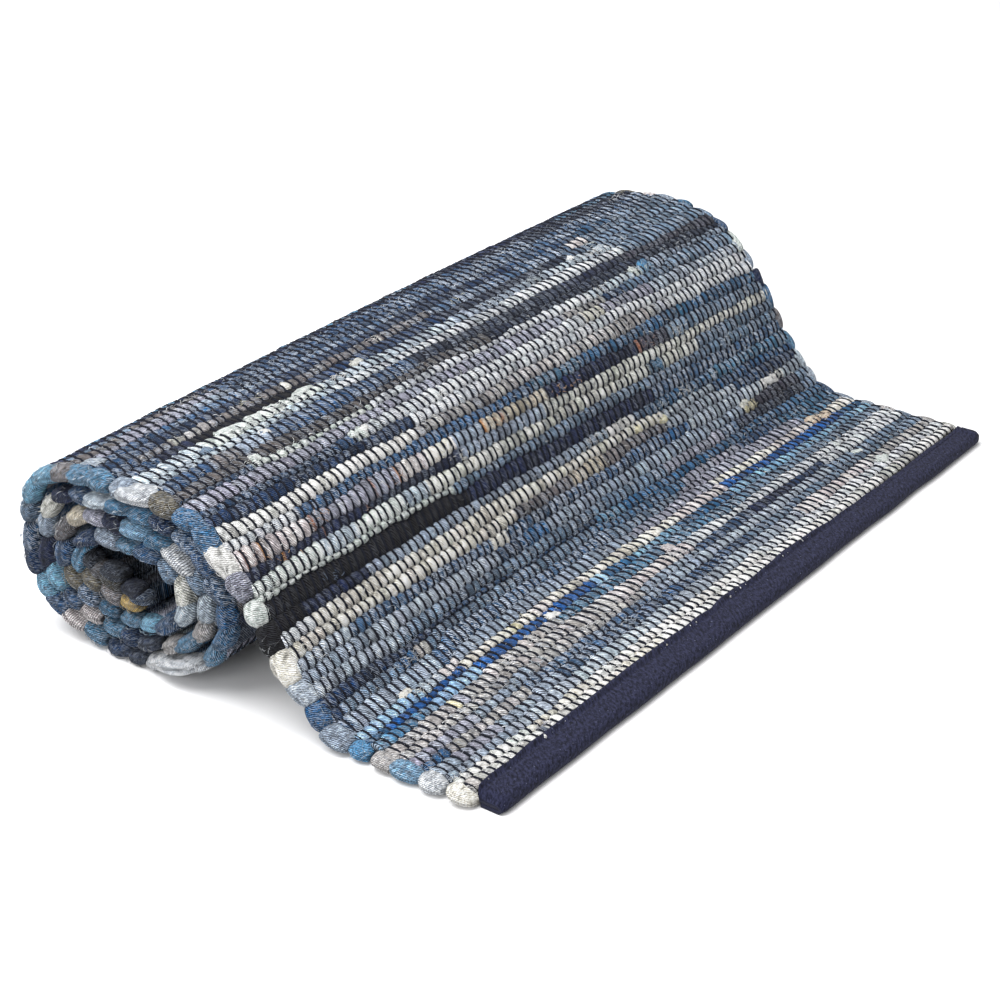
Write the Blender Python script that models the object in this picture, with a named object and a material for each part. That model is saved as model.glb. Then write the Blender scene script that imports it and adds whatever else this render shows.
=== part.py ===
"""Half-rolled rag rug: woven denim strips with a navy tape over the free end.

The cloth is one long plain-woven strip. Its free end lies flat on the floor, then
it climbs to an oval roll, goes over the top and winds inwards. The tape is folded
round the free end. Metres, +Z up, X along the roll, +Y from the tape to the roll,
origin in the middle of the base.
"""
import math

import bmesh
import bpy
import numpy as np

# ---- driving dimensions ------------------------------------------------------
EDGE_NEAR_X = 0.000         # roots of the selvedge loops at the near end of the roll
EDGE_FAR_X = 0.592          # roots of the selvedge loops at the far end
CLOTH_LENGTH = 1.50         # flat length from the free end to the end in the core
CLOTH_THICKNESS = 0.011     # over the crests of the weft rows
ROW_PITCH = 0.0086          # one weft row along the warp
RIB_DEPTH = 0.0011          # crest to valley on each face
ROW_UNEVENNESS = 0.0004     # thin rows lie this much lower than fat ones
UNEVEN_RATES = (2.3, 0.37)  # two waves, in radians a point, that mix thin and fat rows
POINTS_PER_ROW = 2          # one valley and one crest

LOOP_REACH = 0.008          # a selvedge loop stands out this far from its root
ROWS_PER_LOOP = 2           # a rag strip turns back every second row
LOOP_UNEVENNESS = 0.15      # share of the reach by which loops differ
LOOP_RATE = 1.7             # the wave that mixes long and short loops, in radians a loop
# A loop's cross-sections from its tip inwards: share of the reach, distance of the
# pressed hem inside the loop roots, share of the cloth's thickness.
LOOP_COLUMNS = ("reach", "hem_inset", "thickness")
LOOP_SECTIONS = ((1.00, 0.006, 0.45),
                 (0.55, 0.008, 0.95))
LOOP_SHOULDER = 0.010       # the body of the cloth starts this far inside the roots

BODY_STEPS = 3              # lengths of cloth between the two shoulders
ROW_BOW = 0.004             # rows bow this much towards the roll at mid width
BOW_STARTS_BY = 0.080       # the bow has its full size this far from the free end
FLAT_BELOW = 0.0017         # faces lower than this lie flat on the floor

TAPE_NEAR_X = 0.005         # the tape's near end lies inside the loops
TAPE_FAR_X = 0.596          # and its far end stops just short of them
TAPE_THICKNESS = 0.0018
TAPE_TOP_WIDTH = 0.0190     # from the folded edge to the seam on the top face
TAPE_UNDER_WIDTH = 0.0175
TAPE_STEPS = 4              # lengths of tape along the end
TAPE_NOSE_POINTS = 9        # points round its folded edge
HEM_THICKNESS = 0.0055      # the cloth is pressed thin inside the tape
HEM_START = 0.0045          # the cloth's own end, from the tape's folded edge
GAP = 0.0003                # clearance between two pieces

# The shape of the cloth at each end of the roll, blended in between.
# centre_*: middle of the oval; half_*: outer turn's centreline; step_*: how much
# smaller each next turn is; leave_deg: where the loose cloth leaves the oval;
# lift_y: where it leaves the floor; *_pull: length of the curve's two handles;
# fullness and back_fullness: exponent of the oval, 2 is an ellipse.
PROFILE_COLUMNS = ("centre_y", "centre_z", "half_width", "half_height", "step_y", "step_z",
                   "leave_deg", "lift_y", "floor_pull", "roll_pull", "fullness",
                   "back_fullness")
NEAR_PROFILE = (0.2760, 0.0585, 0.0915, 0.0603, 0.0155, 0.0123,
                118, 0.102, 0.046, 0.052, 2.08, 0.95)
FAR_PROFILE = (0.2880, 0.0660, 0.0880, 0.0672, 0.0150, 0.0132,
               117, 0.117, 0.052, 0.060, 2.10, 0.30)
BACK_FULLEST_DEG = 50       # where the oval is fullest, above the floor at the back
CORE_TURNS = 3.68           # after this many turns the cloth's end sinks in the core
CORE_SAG = 0.013            # how far it sinks
CORE_SAG_TURNS = 0.34       # over this much of a turn
WOUND_TURNS = 4.6           # turns worked out before the cloth is cut to length

CURVE_STEPS = 200           # fine points on the curve that leaves the floor
TURN_STEPS = 900            # fine points on each turn

DENIM_BLUE = (0.118, 0.165, 0.235, 1.0)
NAVY = (0.030, 0.033, 0.060, 1.0)
CLOTH_ROUGHNESS = 0.92


def clear_scene():
    """Remove every object of the open scene."""
    for old in list(bpy.data.objects):
        bpy.data.objects.remove(old, do_unlink=True)


def fabric(name, colour):
    """A matt woven material of one colour."""
    material = bpy.data.materials.new(name)
    material.use_nodes = True
    surface = material.node_tree.nodes["Principled BSDF"]
    surface.inputs["Base Color"].default_value = colour
    surface.inputs["Roughness"].default_value = CLOTH_ROUGHNESS
    surface.inputs["Metallic"].default_value = 0.0
    return material


def smoothstep(t):
    """0 below 0, 1 above 1, and an even S between."""
    t = np.clip(t, 0.0, 1.0)
    return t * t * (3.0 - 2.0 * t)


def profile_at(across):
    """The profile's named sizes at a share of the way from near end to far end."""
    pairs = zip(NEAR_PROFILE, FAR_PROFILE)
    return dict(zip(PROFILE_COLUMNS, [near + (far - near) * across for near, far in pairs]))


def wound_part(size):
    """Centreline (y, z) of the oval turns, from where the cloth leaves them to the core."""
    turned = np.linspace(0.0, WOUND_TURNS, int(WOUND_TURNS * TURN_STEPS))
    angle = math.radians(size["leave_deg"]) - 2.0 * math.pi * turned
    half_y = size["half_width"] - size["step_y"] * turned
    half_z = size["half_height"] - size["step_z"] * turned
    fullest = 0.5 + 0.5 * np.cos(angle - math.radians(BACK_FULLEST_DEG))
    power = 2.0 / (size["fullness"] + size["back_fullness"] * fullest ** 2)
    cosine = np.cos(angle)
    sine = np.sin(angle)
    y = size["centre_y"] + half_y * np.sign(cosine) * np.abs(cosine) ** power
    z = size["centre_z"] + half_z * np.sign(sine) * np.abs(sine) ** power
    z = z - CORE_SAG * smoothstep((turned - CORE_TURNS) / CORE_SAG_TURNS)
    return np.stack([y, np.maximum(z, CLOTH_THICKNESS / 2)], axis=1)


def rising_part(size, top, heading):
    """Centreline of the S that climbs from the floor to the roll: a cubic curve."""
    foot = np.array([size["lift_y"], CLOTH_THICKNESS / 2])
    foot_handle = foot + [size["floor_pull"], 0.0]
    top_handle = top - heading * size["roll_pull"]
    t = np.linspace(0.0, 1.0, CURVE_STEPS)[:, None]
    return ((1 - t) ** 3 * foot + 3 * (1 - t) ** 2 * t * foot_handle
            + 3 * (1 - t) * t ** 2 * top_handle + t ** 3 * top)


def stretch_marks():
    """Distances along the cloth of its section points, and the index where rows begin."""
    hem_length = TAPE_TOP_WIDTH + 2 * GAP - HEM_START
    hem = [0.0, hem_length]
    rows = np.arange(hem_length + GAP, CLOTH_LENGTH, ROW_PITCH / POINTS_PER_ROW)
    return np.concatenate([hem, rows]), len(hem)


def centreline(size, marks):
    """Points (y, z) and unit tangents of the cloth's middle at the given distances."""
    wound = wound_part(size)
    heading = wound[1] - wound[0]
    heading = heading / np.linalg.norm(heading)
    rising = rising_part(size, wound[0], heading)
    start = np.array([[HEM_START, CLOTH_THICKNESS / 2]])
    path = np.vstack([start, rising[:-1], wound])
    gone = np.concatenate([[0.0], np.cumsum(np.linalg.norm(np.diff(path, axis=0), axis=1))])
    half_step = ROW_PITCH / POINTS_PER_ROW / 2

    def point(distance):
        return np.stack([np.interp(distance, gone, path[:, 0]),
                         np.interp(distance, gone, path[:, 1])], axis=1)

    tangent = point(marks + half_step) - point(np.maximum(marks - half_step, 0.0))
    return point(marks), tangent / np.linalg.norm(tangent, axis=1)[:, None]


def face_offsets(count, first_row):
    """Distance of the outer and the inner face from the centreline at each point."""
    index = np.arange(count) - first_row
    fast, slow = UNEVEN_RATES
    thin = 0.5 + 0.5 * np.sin(fast * index) * np.sin(slow * index + 1.0)
    is_crest = index % POINTS_PER_ROW == 1
    outer = np.where(is_crest, 0.0, -RIB_DEPTH) - ROW_UNEVENNESS * thin + CLOTH_THICKNESS / 2
    inner = outer.copy()
    outer[:first_row] = TAPE_THICKNESS + GAP + HEM_THICKNESS - CLOTH_THICKNESS / 2
    inner[:first_row] = CLOTH_THICKNESS / 2 - TAPE_THICKNESS - GAP
    return outer, inner


def loop_reach(count, first_row):
    """How far each point of the selvedge stands out: nothing between loops, most at a tip."""
    points_per_loop = POINTS_PER_ROW * ROWS_PER_LOOP
    index = np.arange(count) - first_row
    wave = np.sin(LOOP_RATE * (index // points_per_loop))
    uneven = 1.0 - LOOP_UNEVENNESS * (1.0 - wave)
    return LOOP_REACH * uneven * np.abs(np.sin(math.pi * index / points_per_loop))


def cloth_ring(across, x, marks, first_row, thickness_share):
    """Closed ring of section points at one place across the rug: outer face, then inner."""
    middle, tangent = centreline(profile_at(across), marks)
    outward = np.stack([-tangent[:, 1], tangent[:, 0]], axis=1)
    outer, inner = face_offsets(len(marks), first_row)
    over = middle + outward * outer[:, None] * thickness_share
    under = middle - outward * inner[:, None] * thickness_share
    for face in (over, under):
        resting = face[:, 1] < FLAT_BELOW
        face[resting, 1] = 0.0
    bow = ROW_BOW * math.sin(math.pi * across) * smoothstep(marks / BOW_STARTS_BY)
    over[:, 0] += bow
    under[:, 0] += bow
    ring = np.concatenate([over, under[::-1]])
    return np.column_stack([np.concatenate([x, x[::-1]]), ring])


def cloth_rings():
    """Rings across the rug: near loops, the body, far loops."""
    marks, first_row = stretch_marks()
    reach = loop_reach(len(marks), first_row)
    near_rings, far_rings = [], []
    for section in LOOP_SECTIONS:
        loop = dict(zip(LOOP_COLUMNS, section))
        stands_out = reach * loop["reach"]
        stands_out[:first_row] = -loop["hem_inset"]
        near_rings.append(cloth_ring(0.0, EDGE_NEAR_X - stands_out, marks, first_row,
                                     loop["thickness"]))
        far_rings.insert(0, cloth_ring(1.0, EDGE_FAR_X + stands_out, marks, first_row,
                                       loop["thickness"]))
    body_rings = []
    near_shoulder = EDGE_NEAR_X + LOOP_SHOULDER
    far_shoulder = EDGE_FAR_X - LOOP_SHOULDER
    for step in range(BODY_STEPS + 1):
        across = step / BODY_STEPS
        x = np.full(len(marks), near_shoulder + (far_shoulder - near_shoulder) * across)
        body_rings.append(cloth_ring(across, x, marks, first_row, 1.0))
    return near_rings + body_rings + far_rings


def tape_ring(x):
    """Closed ring of the tape's U section round the hem at one place across the rug."""
    height = 2 * TAPE_THICKNESS + 2 * GAP + HEM_THICKNESS
    middle = height / 2
    turn = np.linspace(-math.pi / 2, -3 * math.pi / 2, TAPE_NOSE_POINTS)
    nose = HEM_START + GAP
    outer = np.stack([nose + nose * np.cos(turn), middle + middle * np.sin(turn)], axis=1)
    bore_y = nose - TAPE_THICKNESS
    bore_z = middle - TAPE_THICKNESS
    bore = np.stack([nose + bore_y * np.cos(turn), middle + bore_z * np.sin(turn)], axis=1)
    under_ends = np.array([[TAPE_UNDER_WIDTH, TAPE_THICKNESS], [TAPE_UNDER_WIDTH, 0.0]])
    top_ends = np.array([[TAPE_TOP_WIDTH, height], [TAPE_TOP_WIDTH, height - TAPE_THICKNESS]])
    section = np.concatenate([outer, top_ends, bore[::-1], under_ends])
    return np.column_stack([np.full(len(section), x), section])


def skin_faces(ring_count, ring_size):
    """Quads that join each ring to the next all the way round."""
    faces = []
    for ring in range(ring_count - 1):
        for here in range(ring_size):
            there = (here + 1) % ring_size
            low, high = ring * ring_size, (ring + 1) * ring_size
            faces.append((low + here, low + there, high + there, high + here))
    return faces


def strip_cap(first, ring_size):
    """Quads that close one end ring of the cloth, between its outer and inner face."""
    last = ring_size - 1
    return [(first + here, first + here + 1, first + last - here - 1, first + last - here)
            for here in range(ring_size // 2 - 1)]


def solid(name, points, faces, material):
    """One closed object with its faces turned outwards."""
    mesh = bpy.data.meshes.new(name)
    mesh.from_pydata(points.tolist(), [], faces)
    made = bmesh.new()
    made.from_mesh(mesh)
    bmesh.ops.triangulate(made, faces=made.faces[:])
    bmesh.ops.recalc_face_normals(made, faces=made.faces[:])
    made.to_mesh(mesh)
    made.free()
    mesh.materials.append(material)
    thing = bpy.data.objects.new(name, mesh)
    bpy.context.scene.collection.objects.link(thing)
    return thing


def build():
    """Make the woven cloth and its end tape, with the origin in the middle of the base."""
    clear_scene()
    cloth_points = cloth_rings()
    cloth_size = len(cloth_points[0])
    tape_points = [tape_ring(TAPE_NEAR_X + (TAPE_FAR_X - TAPE_NEAR_X) * step / TAPE_STEPS)
                   for step in range(TAPE_STEPS + 1)]
    tape_size = len(tape_points[0])

    everything = np.concatenate(cloth_points + tape_points)
    low, high = everything.min(axis=0), everything.max(axis=0)
    base_middle = np.array([(low[0] + high[0]) / 2, (low[1] + high[1]) / 2, low[2]])

    last_ring = (len(cloth_points) - 1) * cloth_size
    cloth_faces = (skin_faces(len(cloth_points), cloth_size)
                   + strip_cap(0, cloth_size) + strip_cap(last_ring, cloth_size))
    solid("rug_cloth", np.concatenate(cloth_points) - base_middle, cloth_faces,
          fabric("denim_rag_weave", DENIM_BLUE))

    last_ring = (len(tape_points) - 1) * tape_size
    tape_faces = (skin_faces(len(tape_points), tape_size)
                  + [tuple(range(tape_size)), tuple(range(last_ring, last_ring + tape_size))])
    solid("end_binding", np.concatenate(tape_points) - base_middle, tape_faces,
          fabric("navy_cotton_tape", NAVY))


build()
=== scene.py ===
import math

import bpy
import numpy as np
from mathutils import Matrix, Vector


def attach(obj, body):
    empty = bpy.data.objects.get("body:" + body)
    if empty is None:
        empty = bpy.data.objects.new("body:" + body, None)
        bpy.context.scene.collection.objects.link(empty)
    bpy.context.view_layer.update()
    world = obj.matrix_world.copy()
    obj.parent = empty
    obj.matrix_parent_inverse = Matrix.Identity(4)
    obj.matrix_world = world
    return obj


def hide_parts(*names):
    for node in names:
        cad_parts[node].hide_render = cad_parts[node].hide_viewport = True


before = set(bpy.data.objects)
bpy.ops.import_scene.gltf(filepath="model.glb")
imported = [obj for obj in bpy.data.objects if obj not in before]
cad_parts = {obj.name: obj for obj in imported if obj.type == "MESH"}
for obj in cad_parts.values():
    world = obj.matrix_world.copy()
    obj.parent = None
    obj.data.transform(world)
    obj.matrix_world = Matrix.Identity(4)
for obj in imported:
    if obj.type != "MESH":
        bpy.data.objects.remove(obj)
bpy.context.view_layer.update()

# ==== How the cloth lies ======================================================
# A rag rug 60 cm wide and 150 cm long. Its taped end lies flat on the floor, then the
# cloth climbs and is rolled inwards in a low oval of four turns, fatter at the far end.
# All but the tape is placed by x across, s along and n outwards from its middle (metres).
WIDTH = 0.592               # between the roots of the turning loops at the two sides
LENGTH = 1.50
THICKNESS = 0.011
SIDE_BAND = 0.010           # the lie is the same over this much of the cloth at each side
MIDDLE = (0.296, 0.18853)   # x and y of the frame's origin, from the taped corner
HEM_START = 0.0045          # the cloth's own end, behind the tape's folded edge
ROW_BOW = 0.004             # the rows bow towards the roll at mid width
BOW_LENGTH = 0.080          # over this much of the cloth's length
LOWEST = 0.0002             # nothing comes nearer to the floor than this
LIE_COLUMNS = ("centre_y", "centre_z", "half_width", "half_height", "step_y", "step_z",
               "leave_deg", "lift_y", "floor_pull", "roll_pull", "fullness",
               "back_fullness")     # metres, but for the angle and the two powers
NEAR_LIE = (0.2760, 0.0585, 0.0915, 0.0603, 0.0155, 0.0123,
            118, 0.102, 0.046, 0.052, 2.08, 0.95)
FAR_LIE = (0.2880, 0.0660, 0.0880, 0.0672, 0.0150, 0.0132,
           117, 0.117, 0.052, 0.060, 2.10, 0.30)
BACK_FULLEST_DEG = 50
CORE_TURNS, CORE_SAG, CORE_SAG_TURNS = 3.68, 0.013, 0.34
WOUND_TURNS = 4.6
OVAL_POINTS, CLIMB_POINTS = 900, 200    # on one turn and on the climb
LIE_LINES = 17              # middle lines worked out across the width
LIE_STEP = 0.002            # and their points along the cloth
LIE_SPARE = 0.020           # and how far they go on beyond its end


def smoothstep(t):
    """0 below 0, 1 above 1, and an even S between: 3 t squared less 2 t cubed."""
    t = np.clip(t, 0.0, 1.0)
    return t * t * (3.0 - 2.0 * t)


def oval_turns(size):
    """Middle line of the wound cloth: an oval whose half axes shrink evenly with the
    turns, whose corners fill out towards the back, and whose last turn sinks."""
    turned = np.linspace(0.0, WOUND_TURNS, int(WOUND_TURNS * OVAL_POINTS))
    angle = math.radians(size["leave_deg"]) - 2.0 * math.pi * turned
    fullest = 0.5 + 0.5 * np.cos(angle - math.radians(BACK_FULLEST_DEG))
    power = 2.0 / (size["fullness"] + size["back_fullness"] * fullest ** 2)
    cosine, sine = np.cos(angle), np.sin(angle)
    y = (size["centre_y"] + (size["half_width"] - size["step_y"] * turned)
         * np.sign(cosine) * np.abs(cosine) ** power)
    z = (size["centre_z"] + (size["half_height"] - size["step_z"] * turned)
         * np.sign(sine) * np.abs(sine) ** power)
    z = z - CORE_SAG * smoothstep((turned - CORE_TURNS) / CORE_SAG_TURNS)
    return np.stack([y, np.maximum(z, THICKNESS / 2)], axis=1)


def middle_line(across):
    """Middle line and outward normal (y, z, out_y, out_z) at one share of the width:
    straight on the floor, a cubic curve up to the oval, then the oval, at even steps
    of the cloth's length."""
    size = {name: near + (far - near) * across
            for name, near, far in zip(LIE_COLUMNS, NEAR_LIE, FAR_LIE)}
    oval = oval_turns(size)
    heading = oval[1] - oval[0]
    heading = heading / np.linalg.norm(heading)
    foot = np.array([size["lift_y"], THICKNESS / 2])
    foot_handle = foot + [size["floor_pull"], 0.0]
    top_handle = oval[0] - heading * size["roll_pull"]
    t = np.linspace(0.0, 1.0, CLIMB_POINTS)[:, None]
    climb = ((1 - t) ** 3 * foot + 3 * (1 - t) ** 2 * t * foot_handle
             + 3 * (1 - t) * t ** 2 * top_handle + t ** 3 * oval[0])
    path = np.vstack([[[HEM_START, THICKNESS / 2]], climb[:-1], oval])
    gone = np.concatenate([[0.0], np.cumsum(np.linalg.norm(np.diff(path, axis=0), axis=1))])
    marks = np.arange(0.0, LENGTH + LIE_SPARE, LIE_STEP)
    line = np.stack([np.interp(marks, gone, path[:, 0]),
                     np.interp(marks, gone, path[:, 1])], axis=1)
    along = np.gradient(line, axis=0)
    along = along / np.linalg.norm(along, axis=1)[:, None]
    return np.column_stack([line, -along[:, 1], along[:, 0]])


LIE = np.array([middle_line(across) for across in np.linspace(0.0, 1.0, LIE_LINES)])


def on_cloth(x, s, n):
    """Points for x across, s along and n outwards: the middle line there, read between
    the worked-out lines, plus n times its normal, and never below the floor."""
    x, s, n = np.broadcast_arrays(x, s, n)
    across = np.clip((x - SIDE_BAND) / (WIDTH - 2 * SIDE_BAND), 0.0, 1.0)
    line = across * (LIE_LINES - 1)
    step = np.clip(s / LIE_STEP, 0.0, LIE.shape[1] - 1.001)
    i = np.minimum(line.astype(int), LIE_LINES - 2)
    j = step.astype(int)
    u, v = (line - i)[..., None], (step - j)[..., None]
    lie = ((LIE[i, j] * (1 - v) + LIE[i, j + 1] * v) * (1 - u)
           + (LIE[i + 1, j] * (1 - v) + LIE[i + 1, j + 1] * v) * u)
    bow = ROW_BOW * np.sin(math.pi * across) * smoothstep(s / BOW_LENGTH)
    return np.stack([x - MIDDLE[0],
                     lie[..., 0] + n * lie[..., 2] + bow - MIDDLE[1],
                     np.maximum(lie[..., 1] + n * lie[..., 3], LOWEST)], axis=-1)


# ==== The rags: their colours, and the weaving plan ===========================
# Worn jeans and shirts, cut in strips 2 to 3 cm wide and folded in as they are woven.
# Few rows are one strip from side to side: one ends and the next begins inside the row.
# The plan is charted row by row from the taped end.
RAGS = {  # sRGB colour, and the share of pale worn threads that shows in it
    "cream": ("#F3EEE1", 0.08), "chalk": ("#DCE1E8", 0.25), "white": ("#F8F7F3", 0.05),
    "bone": ("#D8D8CE", 0.20), "mint": ("#D8E2DC", 0.20), "ice": ("#B6C4D1", 0.35),
    "pale": ("#A6B1BF", 0.40), "silver": ("#8896A8", 0.50), "stone": ("#ACA8A6", 0.30),
    "sand": ("#C3B8A4", 0.25), "peach": ("#D8C0AA", 0.15), "pink": ("#D5CBCB", 0.20),
    "yellow": ("#DDD5B0", 0.10), "lilac": ("#9696A6", 0.40), "grey": ("#5E748B", 0.50),
    "melange": ("#2F4E6F", 1.00), "steel": ("#42708F", 0.55), "teal": ("#2D5F80", 0.45),
    "faded": ("#729CBD", 0.40), "bluegrey": ("#2A587D", 0.50), "slate": ("#1B3C5F", 0.50),
    "denim": ("#1B4D78", 0.45), "deep": ("#0C294C", 0.35), "blue": ("#1D527A", 0.30),
    "royal": ("#0B4F92", 0.12), "sky": ("#8FB5DC", 0.30), "bright": ("#4480AC", 0.30),
    "aqua": ("#6797B4", 0.35), "navy": ("#151F3E", 0.15), "black": ("#100F15", 0.04),
    "char": ("#20293C", 0.30), "umber": ("#373540", 0.25), "taupe": ("#6B6564", 0.45),
    "olive": ("#5F594B", 0.35), "mustard": ("#A3894F", 0.30), "ochre": ("#C98A44", 0.10),
    "rust": ("#8A5840", 0.25), "bark": ("#4C4745", 0.35),
}
PLAN = (  # one line a row: each rag and the x in mm where it ends, the last at the far side
    "white 68 char 74 white 130 cream 200 white",
    "white 50 mint 66 cream 130 white 330 chalk",
    "silver 60 pale 130 ice 200 pale 400 pink 500 stone",
    "silver 20 lilac 60 silver 125 melange 210 slate 345 grey",
    "denim 22 stone 100 melange 240 silver 300 pale 470 grey",
    "lilac 60 silver 120 stone 240 silver 310 slate 380 navy 430 deep 476 chalk",
    "stone 220 pink 310 chalk",
    "stone 60 yellow 67 lilac 75 stone 178 steel 400 grey",
    "faded 12 bright 45 sky 104 royal 232 sky 245 blue 275 faded 330 blue 395 faded",
    "blue 20 royal 98 cream 150 yellow 158 cream 176 pink 190 cream 340 pink 400 royal 560 "
    "blue",
    "sky 60 ice 84 pink 104 silver 300 lilac 400 cream 480 pink 530 peach 560 cream",
    "slate 8 silver 90 melange 290 grey 370 lilac 530 teal",
    "deep 12 grey 65 denim 82 stone 98 grey 275 bluegrey 385 lilac 462 slate 515 teal",
    "deep 135 slate 290 steel 320 blue 500 bluegrey",
    "pale 78 grey 380 lilac 455 melange 480 char 575 grey",
    "silver 60 pale 190 slate 215 denim 245 silver 495 yellow 510 umber 575 grey",
    "pale 50 melange 192 cream 208 melange 395 denim 430 pale 530 white 560 ice",
    "cream 226 taupe 290 sand 330 taupe 405 pale 500 slate 540 deep",
    "chalk 30 cream 410 pale 478 denim",
    "black 28 navy 86 silver 345 white 380 bluegrey 480 steel",
    "black 195 navy 412 melange",
    "mint 185 grey",
    "mint 62 ice 96 mint 140 ice 166 bone 420 teal 436 bone 482 grey",
    "navy 32 ochre 35 navy 71 rust 73 navy 111 rust 113 char 180 navy 205 silver 300 bone",
    "pink 7 rust 9 pink 22 ochre 24 pink 67 rust 69 lilac 123 rust 125 lilac 149 ochre 151 "
    "pink 180 cream 206 silver 237 ochre 240 sand 257 rust 259 sand 308 navy 420 rust 424 "
    "umber 460 grey",
    "chalk 62 denim 300 steel 352 bluegrey 478 teal 490 bluegrey",
    "white 182 stone 460 chalk",
    "deep 188 chalk",
    "slate 140 mint 150 chalk 388 cream 410 lilac 470 pale",
    "lilac 370 stone 420 slate 450 grey",
    "slate 62 mint 170 chalk 410 ice 465 mint 475 faded 490 silver",
    "bark 300 char",
    "slate 45 taupe 70 silver 95 slate 232 char 400 navy 470 umber",
    "ice 170 chalk 484 grey",
    "ice 60 mint 165 ice 300 silver 380 ice 480 grey",
    "slate 30 navy 60 black 165 deep 300 char 440 grey",
    "slate 22 taupe 52 bone 58 stone 85 taupe 150 bone 158 taupe 242 bone 247 taupe 300 "
    "melange 457 pink 478 grey",
    "slate 30 deep 400 slate 475 blue 520 grey",
    "slate 60 denim 115 melange 300 deep 345 melange",
    "lilac 96 silver 130 slate 300 melange",
    "taupe 40 lilac 130 slate 300 melange 450 char",
    "grey 60 taupe 120 slate 400 char",
)
# what the rows that aren't charted are drawn from
BACK_RAGS = """
    denim steel deep slate silver pale bluegrey melange navy denim grey taupe teal lilac char
    blue ice
    """.split()


def linear(colour):
    """The linear RGB of an sRGB hex colour."""
    srgb = np.array([int(colour[k:k + 2], 16) for k in (1, 3, 5)]) / 255.0
    return np.where(srgb <= 0.04045, srgb / 12.92, ((srgb + 0.055) / 1.055) ** 2.4)


RAG_NAMES = tuple(RAGS)
RAG_TONES = np.array([[*linear(colour), worn] for colour, worn in RAGS.values()])


def plan_tables(rows):
    """The plan as two arrays, rag ends in metres and rag numbers, one row each. Rows
    beyond the charted ones, at the back and inside the roll, draw one to three rags."""
    draw = np.random.default_rng(31)
    charted = [line.split() for line in PLAN]
    longest = max(len(words[::2]) for words in charted)
    ends = np.full((rows, longest), 1.0)
    rags = np.zeros((rows, longest), int)
    for row in range(rows):
        if row < len(PLAN):
            names, cuts = charted[row][::2], [int(word) for word in charted[row][1::2]]
        else:
            cuts = np.sort(draw.integers(40, 560, draw.integers(0, 3)))
            picks = draw.integers(0, len(BACK_RAGS), len(cuts) + 1)
            names = [BACK_RAGS[pick] for pick in picks]
        ends[row, :len(cuts)] = np.array(cuts) / 1000.0
        for k, name in enumerate(names):
            rags[row, k:] = RAG_NAMES.index(name)
    return ends, rags


ROWS = 172                  # weft rows in the whole cloth
RAG_ENDS, RAG_NUMBERS = plan_tables(ROWS)


def rag_tone(row, x):
    """Linear RGB and worn share of the rag at each row number and x."""
    row, x = np.broadcast_arrays(row, x)
    which = (x[..., None] > RAG_ENDS[row]).sum(axis=-1)
    return RAG_TONES[RAG_NUMBERS[row, np.minimum(which, RAG_ENDS.shape[1] - 1)]]


def tones_of(rags):
    """Linear RGB and worn share of each named rag."""
    return RAG_TONES[[RAG_NAMES.index(rag) for rag in rags]]


def add(tree, kind, links=(), **settings):
    """A shader node with its settings, given by attribute name or by the socket's name
    in small letters, and its links as (own input, other node, that node's output)."""
    node = tree.nodes.new("ShaderNode" + kind)
    for name, value in settings.items():
        if hasattr(node, name):
            setattr(node, name, value)
        else:
            node.inputs[name.replace("_", " ").title()].default_value = value
    for own, other, output in links:
        tree.links.new(other.outputs[output], node.inputs[own])
    return node


def cloth_material(name, roughness, sheen):
    """A material with a Principled shader of plain cloth, and its tree."""
    material = bpy.data.materials.new(name)
    material.use_nodes = True
    shader = material.node_tree.nodes["Principled BSDF"]
    shader.inputs["Roughness"].default_value = roughness
    shader.inputs["Sheen Weight"].default_value = sheen
    shader.inputs["Sheen Roughness"].default_value = 0.5
    shader.inputs["Specular IOR Level"].default_value = 0.12
    return material, material.node_tree, shader


WHITEST = 0.88              # share of the light that the whitest cotton throws back
BAND_DIAGONAL = 0.6283      # a wave texture's diagonal bands are this over its scale apart
BAND_STRAIGHT = 0.3142      # and its straight bands this
CLOUD_SIZE = 0.012
TWILL_PITCH = 0.0015        # of its threads and its flecks
FIBRE_SIZE = 0.0016


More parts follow.
